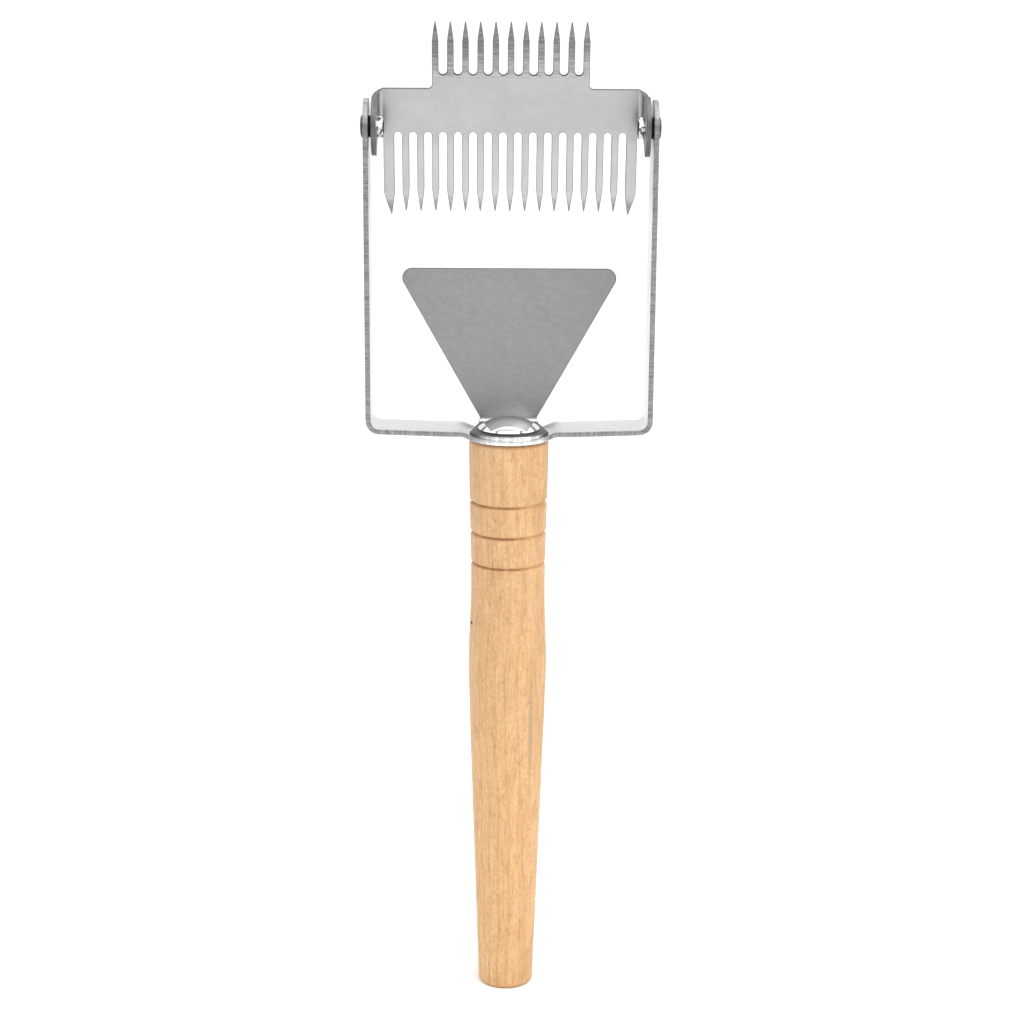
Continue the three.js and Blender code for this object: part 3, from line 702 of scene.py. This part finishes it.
def turned_wood(name):
    """Pale close-grained wood, straight along the handle, turned and sanded."""
    nodes = Material(name)
    across = nodes.axis("X")
    height = nodes.axis("Z")
    sway = nodes.noise((60, 60, 90))
    flat = nodes.vector("MULTIPLY", nodes.vector("ADD", nodes.place, PITH), (1, 1, 0))
    rings = nodes.math("DIVIDE", nodes.vector("LENGTH", flat), RING_WIDTH)
    rings = nodes.math("FRACT", nodes.math("MULTIPLY_ADD", sway, 3.0, rings))

    fibres = nodes.noise((0.5, 0.5, 22), detail=4.0, roughness=0.6)
    hairs = nodes.noise((0.2, 0.2, 7), detail=3.0, roughness=0.6, offset=(3, 5, 8))
    tone = nodes.noise((4, 4, 45), detail=3.0, offset=(9, 1, 4))
    mottle = nodes.noise((0.9, 0.9, 2.2), detail=3.0, roughness=0.6, offset=(4, 2, 9))
    patches = nodes.noise((2.4, 2.4, 5.5), detail=4.0, roughness=0.6, offset=(6, 2, 3))
    flecks = nodes.noise((0.55, 0.55, 1.1), roughness=0.6, offset=(3, 7, 5))
    ripple = nodes.noise((3.2, 3.2, 0.55), offset=(1, 2, 6))
    pores = nodes.noise((0.26, 0.26, 2.2), offset=(8, 8, 1))

    # Each layer tints the wood by a share that grows from none at one value to its most at another; the
    # layers by across and by height are painted shade and painted light
    colour = WOOD_LIGHT
    for layer, none_at, most_at, share, tint_and_shade in (
        (tone, 0.3, 0.7, 1.0, WOOD_MAIN),
        (mottle, 0.5, 0.68, 0.8, WOOD_PINK),
        (mottle, 0.5, 0.32, 0.8, WOOD_YELLOW),
        # painted shade towards the left side
        (across, 11, -10, 0.3, WOOD_SIDE_SHADE),
        # painted light low down the handle
        (height, 140, 40, 0.45, WOOD_LOW_LIGHT),
        (patches, 0.5, 0.7, 0.6, WOOD_BROWN),
        (patches, 0.48, 0.32, 0.8, WOOD_LIGHT),
        (flecks, 0.52, 0.66, 0.4, WOOD_PALE),
        (flecks, 0.46, 0.34, 0.3, WOOD_BROWN),
        (rings, 0.55, 1.0, 0.3, WOOD_DARK),
        (fibres, 0.45, 0.75, 0.55, WOOD_DARK),
        (hairs, 0.52, 0.75, 0.5, WOOD_DARK),
        (ripple, 0.35, 0.7, 0.12, WOOD_LIGHT),
        (pores, 0.6, 0.72, 0.6, WOOD_PORE),
    ):
        colour = nodes.mix(nodes.ramp(layer, none_at, most_at, 0.0, share), colour, tint_and_shade)

    # Painted shade in the grooves, heaviest on the left side
    shade_side = nodes.ramp(across, -1, 7, 1.0, 0.25)
    uneven = nodes.ramp(patches, 0.3, 0.6, 0.55, 1.0)
    for groove in GROOVES:
        distance = nodes.math("ABSOLUTE", nodes.math("SUBTRACT", height, groove))
        groove_shade = nodes.product(nodes.ramp(distance, 0.05, 0.6, 0.8, 0.0), shade_side, uneven)
        colour = nodes.mix(groove_shade, colour, WOOD_DEEP_SHADE)
    # Painted shadow in a band under the collar
    collar_shadow = nodes.ramp(height, HANDLE_LENGTH - 1.4, HANDLE_LENGTH - 0.2, 0.0, 0.7)
    colour = nodes.mix(collar_shadow, colour, WOOD_DEEP_SHADE)

    # Single marks, each a soft-edged ellipsoid of this size round its centre
    for centre, size, core, share, tint_and_shade in (
        (SPECK, (0.55, 2.2, 0.48), 0.7, 1.0, WOOD_BLACK),
        (CRACK, (0.22, 3, 5.2), 0.7, 0.6, WOOD_PORE),
        (STREAK, (0.9, 3, 24), 0.1, 0.6, WOOD_GREY),
    ):
        near = nodes.vector("DIVIDE", nodes.vector("SUBTRACT", nodes.place, centre), size)
        near = nodes.math("ADD", nodes.vector("LENGTH", near), nodes.ramp(hairs, 0.3, 0.7, -0.15, 0.15))
        near = nodes.math("ADD", near, nodes.ramp(fibres, 0.3, 0.7, -0.15, 0.15))
        colour = nodes.mix(nodes.ramp(near, core, 1.05, share, 0.0), colour, tint_and_shade)

    relief = nodes.math("MULTIPLY_ADD", pores, -0.6, nodes.product(fibres, -0.5))
    nodes.bump(relief, 0.08, 0.5)
    rough = nodes.ramp(fibres, 0.3, 0.7, 0.46, 0.6)
    return nodes.finish(colour, rough, Specular_IOR_Level=0.3)


# Handle
def handle_radius(z):
    if z <= HANDLE_TAPER_Z:
        return HANDLE_BUTT_RADIUS + (HANDLE_TAPER_RADIUS - HANDLE_BUTT_RADIUS) * z / HANDLE_TAPER_Z
    knots = [
        (HANDLE_TAPER_Z, HANDLE_TAPER_RADIUS),
        (HANDLE_BELLY_Z, HANDLE_BELLY_RADIUS),
        (HANDLE_NECK_Z, HANDLE_NECK_RADIUS),
        (HANDLE_LENGTH, HANDLE_TOP_RADIUS),
    ]
    for (low, low_radius), (high, high_radius) in zip(knots, knots[1:]):
        if z <= high:
            return low_radius + (high_radius - low_radius) * smoothstep(z, low, high)
    return HANDLE_TOP_RADIUS


def groove_depth(z):
    """A V groove with a rounded bottom and softened lips."""
    nearest = min(abs(z - groove) for groove in GROOVES) / GROOVE_HALF_WIDTH
    return GROOVE_DEPTH * (1 - smoothstep(nearest, 0, GROOVE_LIP)) ** GROOVE_SHARPNESS


def make_handle(wood):
    heights = spread(BUTT_FILLET, HANDLE_LENGTH - TOP_FILLET, 110)
    for groove in GROOVES:
        heights += [groove + offset for offset in spread(-GROOVE_MESH_REACH, GROOVE_MESH_REACH, 16)]
    heights = sorted(set(heights))
    fillet_centre = (handle_radius(BUTT_FILLET) - BUTT_FILLET, BUTT_FILLET)
    profile = [(0, 0)]
    profile += arc(fillet_centre, BUTT_FILLET, -pi / 2, 0, FILLET_STEPS)[:-1]
    profile += [(handle_radius(z) - groove_depth(z), z) for z in heights]
    profile += [(HANDLE_TOP_RADIUS - TOP_FILLET, HANDLE_LENGTH), (BORE_RADIUS, HANDLE_LENGTH)]
    floor = HANDLE_LENGTH - BORE_DEPTH
    profile += [(BORE_RADIUS, floor), (0, floor - BORE_CONE)]
    mesh = lathe(profile, segments=160)
    new_piece("handle_turned", mesh, [wood], "handle", "frame", radians(40))


# Strap
def strap_point(distance, offset):
    """A point of the strap's bent middle line, and off it by an offset towards the inside: (x, z).
    The distance is measured along the line from the middle of the crossbar."""
    side = 1 if distance >= 0 else -1
    left = abs(distance)
    pieces = [
        (BAR_SLOPE_X, 0),
        (BAR_SLOPE_END - BAR_SLOPE_X, BAR_SLOPE),
        (BAR_STRAIGHT, 0),
        (STRAP_BEND_LENGTH, pi / 2 - BAR_SLOPE),
        (STRAP_HIGH.z, 0),
    ]
    place = Vector((0, BAR_TOP_Z - STRAP_THICKNESS / 2))
    heading = 0
    for length, turn in pieces:
        step = min(left, length)
        if turn:
            radius = length / turn
            ahead = heading + step / radius
            place += radius * Vector((sin(ahead) - sin(heading), cos(heading) - cos(ahead)))
            heading = ahead
        else:
            place += step * Vector((cos(heading), sin(heading)))
        left -= step
        if left <= 0:
            break
    place += offset * Vector((-sin(heading), cos(heading)))
    return side * place.x, place.y


def strap_outline(arm_end):
    """The strap laid flat: a long bar with round ends, wider in the middle where the round boss is."""
    half = STRAP_HALF_DEPTH
    fillet_x = sqrt((BOSS_RADIUS + BOSS_FILLET) ** 2 - (half + BOSS_FILLET) ** 2)
    fillet_y = half + BOSS_FILLET
    meet = atan2(fillet_y, fillet_x)
    lower_right = arc((fillet_x, -fillet_y), BOSS_FILLET, pi - meet, pi / 2, FILLET_STEPS)
    boss_front = arc((0, 0), BOSS_RADIUS, -pi + meet, -meet, 48)
    lower_left = arc((-fillet_x, -fillet_y), BOSS_FILLET, pi / 2, meet, FILLET_STEPS)
    front = lower_left[:-1] + boss_front + lower_right[1:]
    right_end = arc((arm_end, 0), half, -pi / 2, pi / 2, 32)
    back = [(-x, -y) for x, y in front]
    left_end = arc((-arm_end, 0), half, pi / 2, 3 * pi / 2, 32)
    return front + right_end + back + left_end


def softened_slope(value, low, high, softness):
    """A straight rise from 0 to 1 with its two corners rounded off."""
    def area(share):
        if share < 0:
            return 0
        if share > 1:
            return share - 0.5
        return share * share / 2

    share = (value - low) / (high - low)
    return (area(share + softness) - area(share - softness)) / (2 * softness)


def pressed_depth(x, y):
    """How far the strap's middle is pressed down, round the bolt."""
    drop = BAR_TOP_Z - STRAP_THICKNESS - STRAP_LOW.z
    rise = softened_slope(hypot(x, y), PRESSED_FROM, PRESSED_TO, PRESSED_SOFTNESS)
    return drop * (1 - rise)


def strap_bent(x, y, z):
    """A point of the flat strap, bent into the frame and pressed down round the bolt."""
    point_x, point_z = strap_point(x, z)
    return point_x, y, point_z - pressed_depth(x, y)


def strap_is_bent(centre):
    """Whether the strap curves at this place of its flat blank."""
    out = abs(centre.x)
    pressed = out < PRESSED_REACH
    sloping = BAR_SLOPE_X < out < BAR_SLOPE_END
    return pressed or sloping or STRAP_BEND_START < out < STRAP_BEND_END


def make_strap(face_steel, edge_steel):
    arm_end = STRAP_BEND_END + PIVOT.z - strap_point(STRAP_BEND_END, 0)[1]
    holes = [hole(0, 0, BORE_RADIUS)]
    holes += [hole(side * arm_end, 0, ARM_HOLE_RADIUS) for side in (-1, 1)]
    mesh = sheet(strap_outline(arm_end), holes, STRAP_THICKNESS, STRAP_RIM)
    bends = spread(STRAP_BEND_START, STRAP_BEND_END, 12) + [BAR_SLOPE_X, BAR_SLOPE_END]
    for side in (-1, 1):
        cut(mesh, 0, [side * place for place in bends])
    cut(mesh, 0, spread(-PRESSED_REACH, PRESSED_REACH, 70))
    across = spread(0.5 - STRAP_HALF_DEPTH, STRAP_HALF_DEPTH - 0.5, 24)
    cut(mesh, 1, across, within=lambda centre: abs(centre.x) < PRESSED_REACH)
    sharpen_rims(mesh)
    keep_flat(mesh, strap_is_bent)
    bend(mesh, strap_bent)
    new_piece("strap_bent", mesh, [face_steel, edge_steel], "frame_strap", "frame")


# Scraper blade
def blade_outline():
    """The blade laid flat: x across it, and its length up from the start of the bend."""
    foot_centre = -BLADE_BEND_LENGTH - BLADE_BEND_Y
    widest = BLADE_HALF_WAIST + FOOT_FLARE * BLADE_HIGH.y
    bend_half = widest - FOOT_FLARE * BLADE_BEND_Y
    # Where the flared sides meet the foot's circle, from a quadratic with these coefficients
    a = 1 + FOOT_FLARE**2
    b = widest * FOOT_FLARE
    c = widest**2 - FOOT_RADIUS**2
    meet = asin((b - sqrt(b * b - a * c)) / a / FOOT_RADIUS)
    corner_x = BLADE_HALF_TOP - BLADE_CORNER_RADIUS
    corner_z = BLADE_TOP_Z - BLADE_CORNER_RADIUS - BLADE_BEND_Z
    side = atan2(corner_x - BLADE_HALF_WAIST, corner_z)
    outline = arc((0, foot_centre), FOOT_RADIUS, pi - meet, 2 * pi + meet, 56)
    outline += [(bend_half, -BLADE_BEND_LENGTH), (BLADE_HALF_WAIST, 0)]
    outline += arc((corner_x, corner_z), BLADE_CORNER_RADIUS, -side, pi / 2, ROUND_STEPS)
    outline += arc((-corner_x, corner_z), BLADE_CORNER_RADIUS, pi / 2, pi + side, ROUND_STEPS)
    outline += [(-BLADE_HALF_WAIST, 0), (-bend_half, -BLADE_BEND_LENGTH)]
    return outline


def blade_bent(x, along, out):
    """A point of the flat blade, bent forwards into the foot; out is off its middle, to the front."""
    if along >= 0:
        return x, BLADE_FRONT_Y + BLADE_THICKNESS / 2 - out, BLADE_BEND_Z + along
    angle = min(-along / BLADE_MIDDLE_RADIUS, pi / 2)
    beyond = min(0, along + BLADE_BEND_LENGTH)
    radius = BLADE_MIDDLE_RADIUS - out
    return x, BLADE_BEND_Y + radius * cos(angle) + beyond, BLADE_BEND_Z - radius * sin(angle)


def make_blade(face_steel, edge_steel):
    bolt_hole = hole(0, -BLADE_BEND_LENGTH - BLADE_BEND_Y, BORE_RADIUS)
    mesh = sheet(blade_outline(), [bolt_hole], BLADE_THICKNESS, BLADE_RIM)
    cut(mesh, 1, spread(-BLADE_BEND_LENGTH, 0, 10))
    sharpen_rims(mesh)
    keep_flat(mesh, lambda centre: -BLADE_BEND_LENGTH < centre.y < 0)
    bend(mesh, blade_bent)
    new_piece("blade_sheet", mesh, [face_steel, edge_steel], "scraper_blade", "frame")


# Bolt
def make_bolt(chrome):
    cap = BOLT_HIGH.z - BOLT_HEAD_Z - BOLT_RIM
    sphere = (BOLT_HEAD_RADIUS**2 + cap**2) / (2 * cap)
    profile = [(0, BOLT_LOW.z), (BOLT_SHANK_RADIUS - 1, BOLT_LOW.z), (BOLT_SHANK_RADIUS, BOLT_LOW.z + 2)]
    profile += [(BOLT_SHANK_RADIUS, BOLT_HEAD_Z), (BOLT_HEAD_RADIUS - 0.25, BOLT_HEAD_Z)]
    profile += [(BOLT_HEAD_RADIUS, BOLT_HEAD_Z + 0.2)]
    centre_z = BOLT_HIGH.z - sphere
    for angle in spread(asin(BOLT_HEAD_RADIUS / sphere), 0, 24):
        profile.append((sphere * sin(angle), centre_z + sphere * cos(angle)))
    profile[-1] = (0, BOLT_HIGH.z)
    mesh = lathe(profile, segments=128)
    new_piece("bolt_dome", mesh, [chrome], "handle_bolt", "frame", radians(30))


# Comb head
def narrow_tine(centre, shoulder, tip, width=TINE_WIDTH):
    return {
        "left": centre - width / 2,
        "right": centre + width / 2,
        "tip_left": centre - TINE_TIP_WIDTH / 2,
        "tip_right": centre + TINE_TIP_WIDTH / 2,
        "shoulder": shoulder,
        "tip": tip,
    }


def centred_row(count):
    """The middles of a row of tines."""
    return [(index - (count - 1) / 2) * TINE_PITCH for index in range(count)]


def upper_tines():
    centres = centred_row(UPPER_TINES)
    return [narrow_tine(centre, UPPER_SHOULDER_Z, UPPER_TIP_Z, UPPER_TINE_WIDTH) for centre in centres]


def lower_tines():
    """The long tines; the two outer ones are wider and longer, with their tips set in."""
    centres = centred_row(LOWER_TINES)
    tines = [narrow_tine(centre, LOWER_TIP_Z + LOWER_POINT, LOWER_TIP_Z) for centre in centres]
    inner_x = centres[-1] + TINE_PITCH - TINE_WIDTH / 2
    tip_x = PLATE_HALF_WIDTH - OUTER_TIP_INSET
    right = narrow_tine(tip_x, OUTER_TIP_Z + LOWER_POINT, OUTER_TIP_Z)
    right.update(left=inner_x, right=PLATE_HALF_WIDTH)
    left = narrow_tine(-tip_x, OUTER_TIP_Z + LOWER_POINT, OUTER_TIP_Z)
    left.update(left=-PLATE_HALF_WIDTH, right=-inner_x)
    return [left] + tines + [right]


def point_profile(tine):
    """The two curved flanks of a tine's point, from its right shoulder round the tip to its left."""
    length = tine["shoulder"] - tine["tip"]
    right, left = [], []
    for share in spread(0, 1, POINT_STEPS):
        width = 1 - share**POINT_CURVE
        z = tine["shoulder"] - length * share
        right.append((tine["tip_right"] + (tine["right"] - tine["tip_right"]) * width, z))
        left.append((tine["tip_left"] + (tine["left"] - tine["tip_left"]) * width, z))
    return right + left[::-1]


def comb_outline():
    """The comb head laid flat, with its two ears beside it, anticlockwise from the left outer tine."""
    outline = []
    lower = lower_tines()
    for index, tine in enumerate(lower):
        outline += point_profile(tine)[::-1]
        if index + 1 < len(lower):
            centre = (tine["right"] + lower[index + 1]["left"]) / 2
            radius = lower[index + 1]["left"] - centre
            outline += arc((centre, LOWER_SLOT_Z - radius), radius, pi, 0, ROUND_STEPS)
    ear = [(PLATE_HALF_WIDTH, EAR_FOOT), (EAR_PIVOT_X - EAR_BEND_Y, EAR_FOOT)]
    for angle in spread(EAR_ROUND_TO, EAR_ROUND_FROM, 40):
        ear.append((EAR_PIVOT_X - EAR_RADIUS * cos(angle), EAR_RADIUS * sin(angle)))
    ear.append((PLATE_HALF_WIDTH, PLATE_TOP))
    outline += ear
    upper = upper_tines()
    fillet_x = upper[-1]["right"] + BLOCK_FILLET
    fillet_z = PLATE_TOP + BLOCK_FILLET
    outline += arc((fillet_x, fillet_z), BLOCK_FILLET, -pi / 2, -pi, FILLET_STEPS)
    for index, tine in enumerate(reversed(upper)):
        outline += point_profile(tine)
        if index + 1 < len(upper):
            radius = (TINE_PITCH - UPPER_TINE_WIDTH) / 2
            centre = tine["left"] - radius
            outline += arc((centre, UPPER_SLOT_Z + radius), radius, 0, -pi, ROUND_STEPS)
    outline += arc((-fillet_x, fillet_z), BLOCK_FILLET, 0, -pi / 2, FILLET_STEPS)
    outline += [(-x, z) for x, z in reversed(ear)]
    return outline


def point_thinning(z):
    """Share of the sheet's thickness that is left where the tines' points are ground thin."""
    upper = (z - UPPER_SHOULDER_Z) / UPPER_POINT
    lower = (OUTER_TIP_Z + LOWER_POINT - z) / LOWER_POINT
    share = max(0, upper, lower)
    return 1 - (1 - TINE_TIP_WIDTH / PLATE_THICKNESS) * min(1, share)


def comb_bent(x, z, out):
    """A point of the flat comb head, its ears bent forwards, in the comb head's own frame."""
    out *= point_thinning(z)
    side = 1 if x >= 0 else -1
    beyond = abs(x) - PLATE_HALF_WIDTH
    if beyond <= 0:
        return Vector((x, PLATE_OFFSET - out, z))
    angle = min(beyond / EAR_BEND_MIDDLE, pi / 2)
    past = max(0, beyond - EAR_BEND_LENGTH)
    radius = EAR_BEND_MIDDLE - out
    reach = PLATE_HALF_WIDTH + radius * sin(angle)
    return Vector((side * reach, EAR_BEND_Y + radius * cos(angle) - past, z))


def make_comb(face_steel, edge_steel):
    holes = [hole(side * EAR_PIVOT_X, 0, EAR_HOLE_RADIUS) for side in (-1, 1)]
    mesh = sheet(comb_outline(), holes, PLATE_THICKNESS, PLATE_RIM)
    bends = spread(PLATE_HALF_WIDTH, PLATE_HALF_WIDTH + EAR_BEND_LENGTH, 10)
    for side in (-1, 1):
        cut(mesh, 0, [side * place for place in bends])
    cut(mesh, 1, [UPPER_SHOULDER_Z, OUTER_TIP_Z + LOWER_POINT])
    sharpen_rims(mesh)
    keep_flat(mesh, lambda centre: 0 < abs(centre.x) - PLATE_HALF_WIDTH < EAR_BEND_LENGTH)
    lean = Matrix.Rotation(HEAD_LEAN, 3, "X")
    bend(mesh, lambda x, z, out: PIVOT + lean @ comb_bent(x, z, out))
    new_piece("comb_head_sheet", mesh, [face_steel, edge_steel], "comb_head", "comb")


# Pivot pieces, made for the right side
def cross_recess(top):
    """Four-armed tapered cutter for the screw's cross recess, about the Z axis."""
    cutter = None
    for turn in (0, pi / 2):
        arm = bmesh.new()
        bmesh.ops.create_cube(arm, size=1)
        for vertex in arm.verts:
            taper = 1 if vertex.co.z > 0 else RECESS_TAPER
            vertex.co.x *= RECESS_ARM * taper
            vertex.co.y *= RECESS_WIDTH * taper
            vertex.co.z = top + (0.5 if vertex.co.z > 0 else -RECESS_DEPTH)
        bmesh.ops.rotate(arm, verts=arm.verts, cent=(0, 0, 0), matrix=Matrix.Rotation(turn, 3, "Z"))
        cutter = arm if cutter is None else boolean(cutter, arm, "UNION")
    return cutter


def pivot_screw():
    tip = SCREW_LOW.x
    top = SCREW_HIGH.x
    rise = top - SCREW_SEAT_X
    profile = [(0, tip), (SCREW_SHANK_RADIUS - 0.3, tip), (SCREW_SHANK_RADIUS, tip + 0.3)]
    profile += [(SCREW_SHANK_RADIUS, SCREW_SEAT_X), (SCREW_HEAD_RADIUS - 0.1, SCREW_SEAT_X)]
    profile += [(SCREW_HEAD_RADIUS, SCREW_SEAT_X + 0.1)]
    for angle in spread(0, pi / 2, 10)[:-1]:
        height = rise * (SCREW_HEAD_SIDE + (1 - SCREW_HEAD_SIDE) * sin(angle))
        profile.append((SCREW_HEAD_RADIUS * cos(angle) ** SCREW_HEAD_ROUNDING, SCREW_SEAT_X + height))
    profile.append((0, top))
    return along_x(boolean(lathe(profile, segments=64), cross_recess(top), "DIFFERENCE"))


def washer_mesh():
    bevel = WASHER_BEVEL
    inner, outer = ARM_HOLE_RADIUS, WASHER_HIGH.y
    low, high = WASHER_LOW.x, WASHER_HIGH.x
    profile = [(inner, low + bevel), (inner + bevel, low), (outer - bevel, low), (outer, low + bevel)]
    profile += [(radius, low + high - height) for radius, height in reversed(profile)]
    return along_x(lathe(profile, segments=64, closed=True))


def hexagon(radius, low, high):
    """A six-sided prism about the Z axis, with two of its corners on the Y axis."""
    outline = circle(radius, 6, start=pi / 6)
    mesh = bmesh.new()
    top = [mesh.verts.new((*point, high)) for point in outline]
    bottom = [mesh.verts.new((*point, low)) for point in outline]
    mesh.faces.new(top)
    mesh.faces.new(bottom[::-1])
    for index in range(6):
        after = (index + 1) % 6
        mesh.faces.new((bottom[index], bottom[after], top[after], top[index]))
    return mesh


def nut_mesh():
    corner = NUT_HIGH.y - PIVOT.y
    inner, outer = ARM_HOLE_RADIUS, corner + 0.02
    low, high = NUT_LOW.x, NUT_HIGH.x
    profile = [(inner, high), (inner, low + NUT_COUNTERSINK), (inner + NUT_COUNTERSINK, low)]
    profile += [(corner - NUT_CHAMFER, low), (outer, low + NUT_CHAMFER_HEIGHT), (outer, high)]
    turned = lathe(profile, segments=72, closed=True)
    return along_x(boolean(turned, hexagon(corner, low - 1, high + 1), "INTERSECT"))


def make_pivots(screw_steel, nut_steel, fibre):
    for side in ("right", "left"):
        pieces = [
            ("screw_", pivot_screw(), screw_steel, "pivot_screw_", "polished_steel", 30),
            ("washer_", washer_mesh(), fibre, "friction_washer_", "washer_fibre", 30),
            ("nut_", nut_mesh(), nut_steel, "pivot_nut_", "polished_steel", 20),
        ]
        for name, mesh, material, node, slot, sharp in pieces:
            if side == "left":
                mirror(mesh)
            new_piece(name + side, mesh, [material], node + side, "frame", radians(sharp))


# Stage
def make_floor():
    data = bpy.data.meshes.new("floor")
    signs = ((-1, -1), (1, -1), (1, 1), (-1, 1))
    square = [(x * FLOOR_HALF, y * FLOOR_HALF, 0) for x, y in signs]
    data.from_pydata(square, [], [(0, 1, 2, 3)])
    nodes = Material("pale_floor")
    grain = nodes.noise((400, 400, 400))
    rough = nodes.ramp(grain, 0.3, 0.7, 0.7, 0.8)
    nodes.finish(nodes.grey(nodes.ramp(grain, 0.3, 0.7, 0.895, 0.905)), rough, Specular_IOR_Level=0.0)
    data.materials.append(nodes.material)
    floor = new_object("floor", data)


def make_world(overhead_level, behind_level, dim_level):
    """Soft surroundings: bright overhead, light low down behind, and dim elsewhere."""
    world = bpy.data.worlds.new("soft_studio")
    bpy.context.scene.world = world
    world.use_nodes = True
    nodes = Nodes(world.node_tree)
    direction = nodes.add("TexCoord").outputs["Generated"]
    split = nodes.add("SeparateXYZ", [("Vector", direction)]).outputs
    overhead = nodes.ramp(split["Z"], 0.5, 0.66)
    behind = nodes.product(nodes.ramp(split["Y"], 0.55, 0.8), nodes.ramp(split["Z"], 0.5, 0.38))
    level = nodes.math("MULTIPLY_ADD", behind, behind_level - dim_level, dim_level)
    level = nodes.math("MULTIPLY_ADD", overhead, overhead_level - dim_level, level)
    background = nodes.add("Background", [("Strength", level), ("Color", (1, 1, 1, 1))])
    nodes.add("OutputWorld", [("Surface", background.outputs["Background"])])


def soft_light(name, place, target, size, power):
    data = bpy.data.lights.new(name, "AREA")
    data.shape = "RECTANGLE"
    data.size, data.size_y = size
    data.energy = power
    light = new_object(name, data)
    light.location = place
    light.rotation_mode = "QUATERNION"
    light.rotation_quaternion = (Vector(target) - Vector(place)).to_track_quat("-Z", "Y")
    light.visible_camera = False


def make_camera():
    level = cos(CAMERA_ELEVATION)
    back = Vector((sin(CAMERA_YAW) * level, -cos(CAMERA_YAW) * level, sin(CAMERA_ELEVATION)))
    data = bpy.data.cameras.new("camera")
    data.lens = CAMERA_LENS
    data.sensor_width = 36
    data.clip_start = 0.01
    data.clip_end = 200
    camera = new_object("camera", data)
    camera.location = (Vector(CAMERA_TARGET) + back * CAMERA_DISTANCE) * MM
    camera.rotation_mode = "QUATERNION"
    roll = Quaternion((0, 0, 1), CAMERA_ROLL)
    camera.rotation_quaternion = (-back).to_track_quat("-Z", "Y") @ roll
    bpy.context.scene.camera = camera


def main():
    make_camera()
    make_floor()
    make_world(overhead_level=1.75, behind_level=1.05, dim_level=0.2)
    centre = (0, 0, 0.15)
    soft_light("key_right", (0.55, -0.6, 1.1), centre, size=(0.7, 0.7), power=5.0)
    soft_light("fill_left", (-0.6, -0.6, 1.0), centre, size=(0.7, 0.7), power=1.2)
    bpy.context.scene.view_settings.view_transform = "Standard"

    wood = turned_wood("handle_wood")
    drawn = (2.5, 0.12, 2.5)
    strap = brushed_steel("strap_steel", tone=0.74, roughness=0.3, streak=drawn, contrast=0.06)
    corner_x = STRAP_HALF_WIDTH - STRAP_CORNER_RADIUS
    strap_edge = sheared_edge("strap_edge", tone=0.34, bend_x=corner_x, highlight_x=11.5)
    rolled = (0.4, 0.4, 0.25)
    blade = brushed_steel("blade_steel", 0.37, 0.5, streak=rolled, contrast=0.08, foot_z=FOOT_TOP_Z)
    blade_edge = sheared_edge("blade_edge", tone=0.14, highlight_x=10.5)
    comb = comb_steel("comb_steel", tone=0.47, roughness=0.36)
    comb_edge = sheared_edge("comb_edge", tone=0.17, painted_root_shade=True)
    chrome = polished_steel("polished_steel", tone=0.8, roughness=0.04)
    screw_steel = polished_steel("screw_steel", tone=0.09, roughness=0.28)
    nut_steel = polished_steel("nut_steel", tone=0.6, roughness=0.08, tarnish=0.85)
    fibre = black_fibre("washer_fibre")

    make_handle(wood)
    make_strap(strap, strap_edge)
    make_blade(blade, blade_edge)
    make_bolt(chrome)
    make_comb(comb, comb_edge)
    make_pivots(screw_steel, nut_steel, fibre)


main()
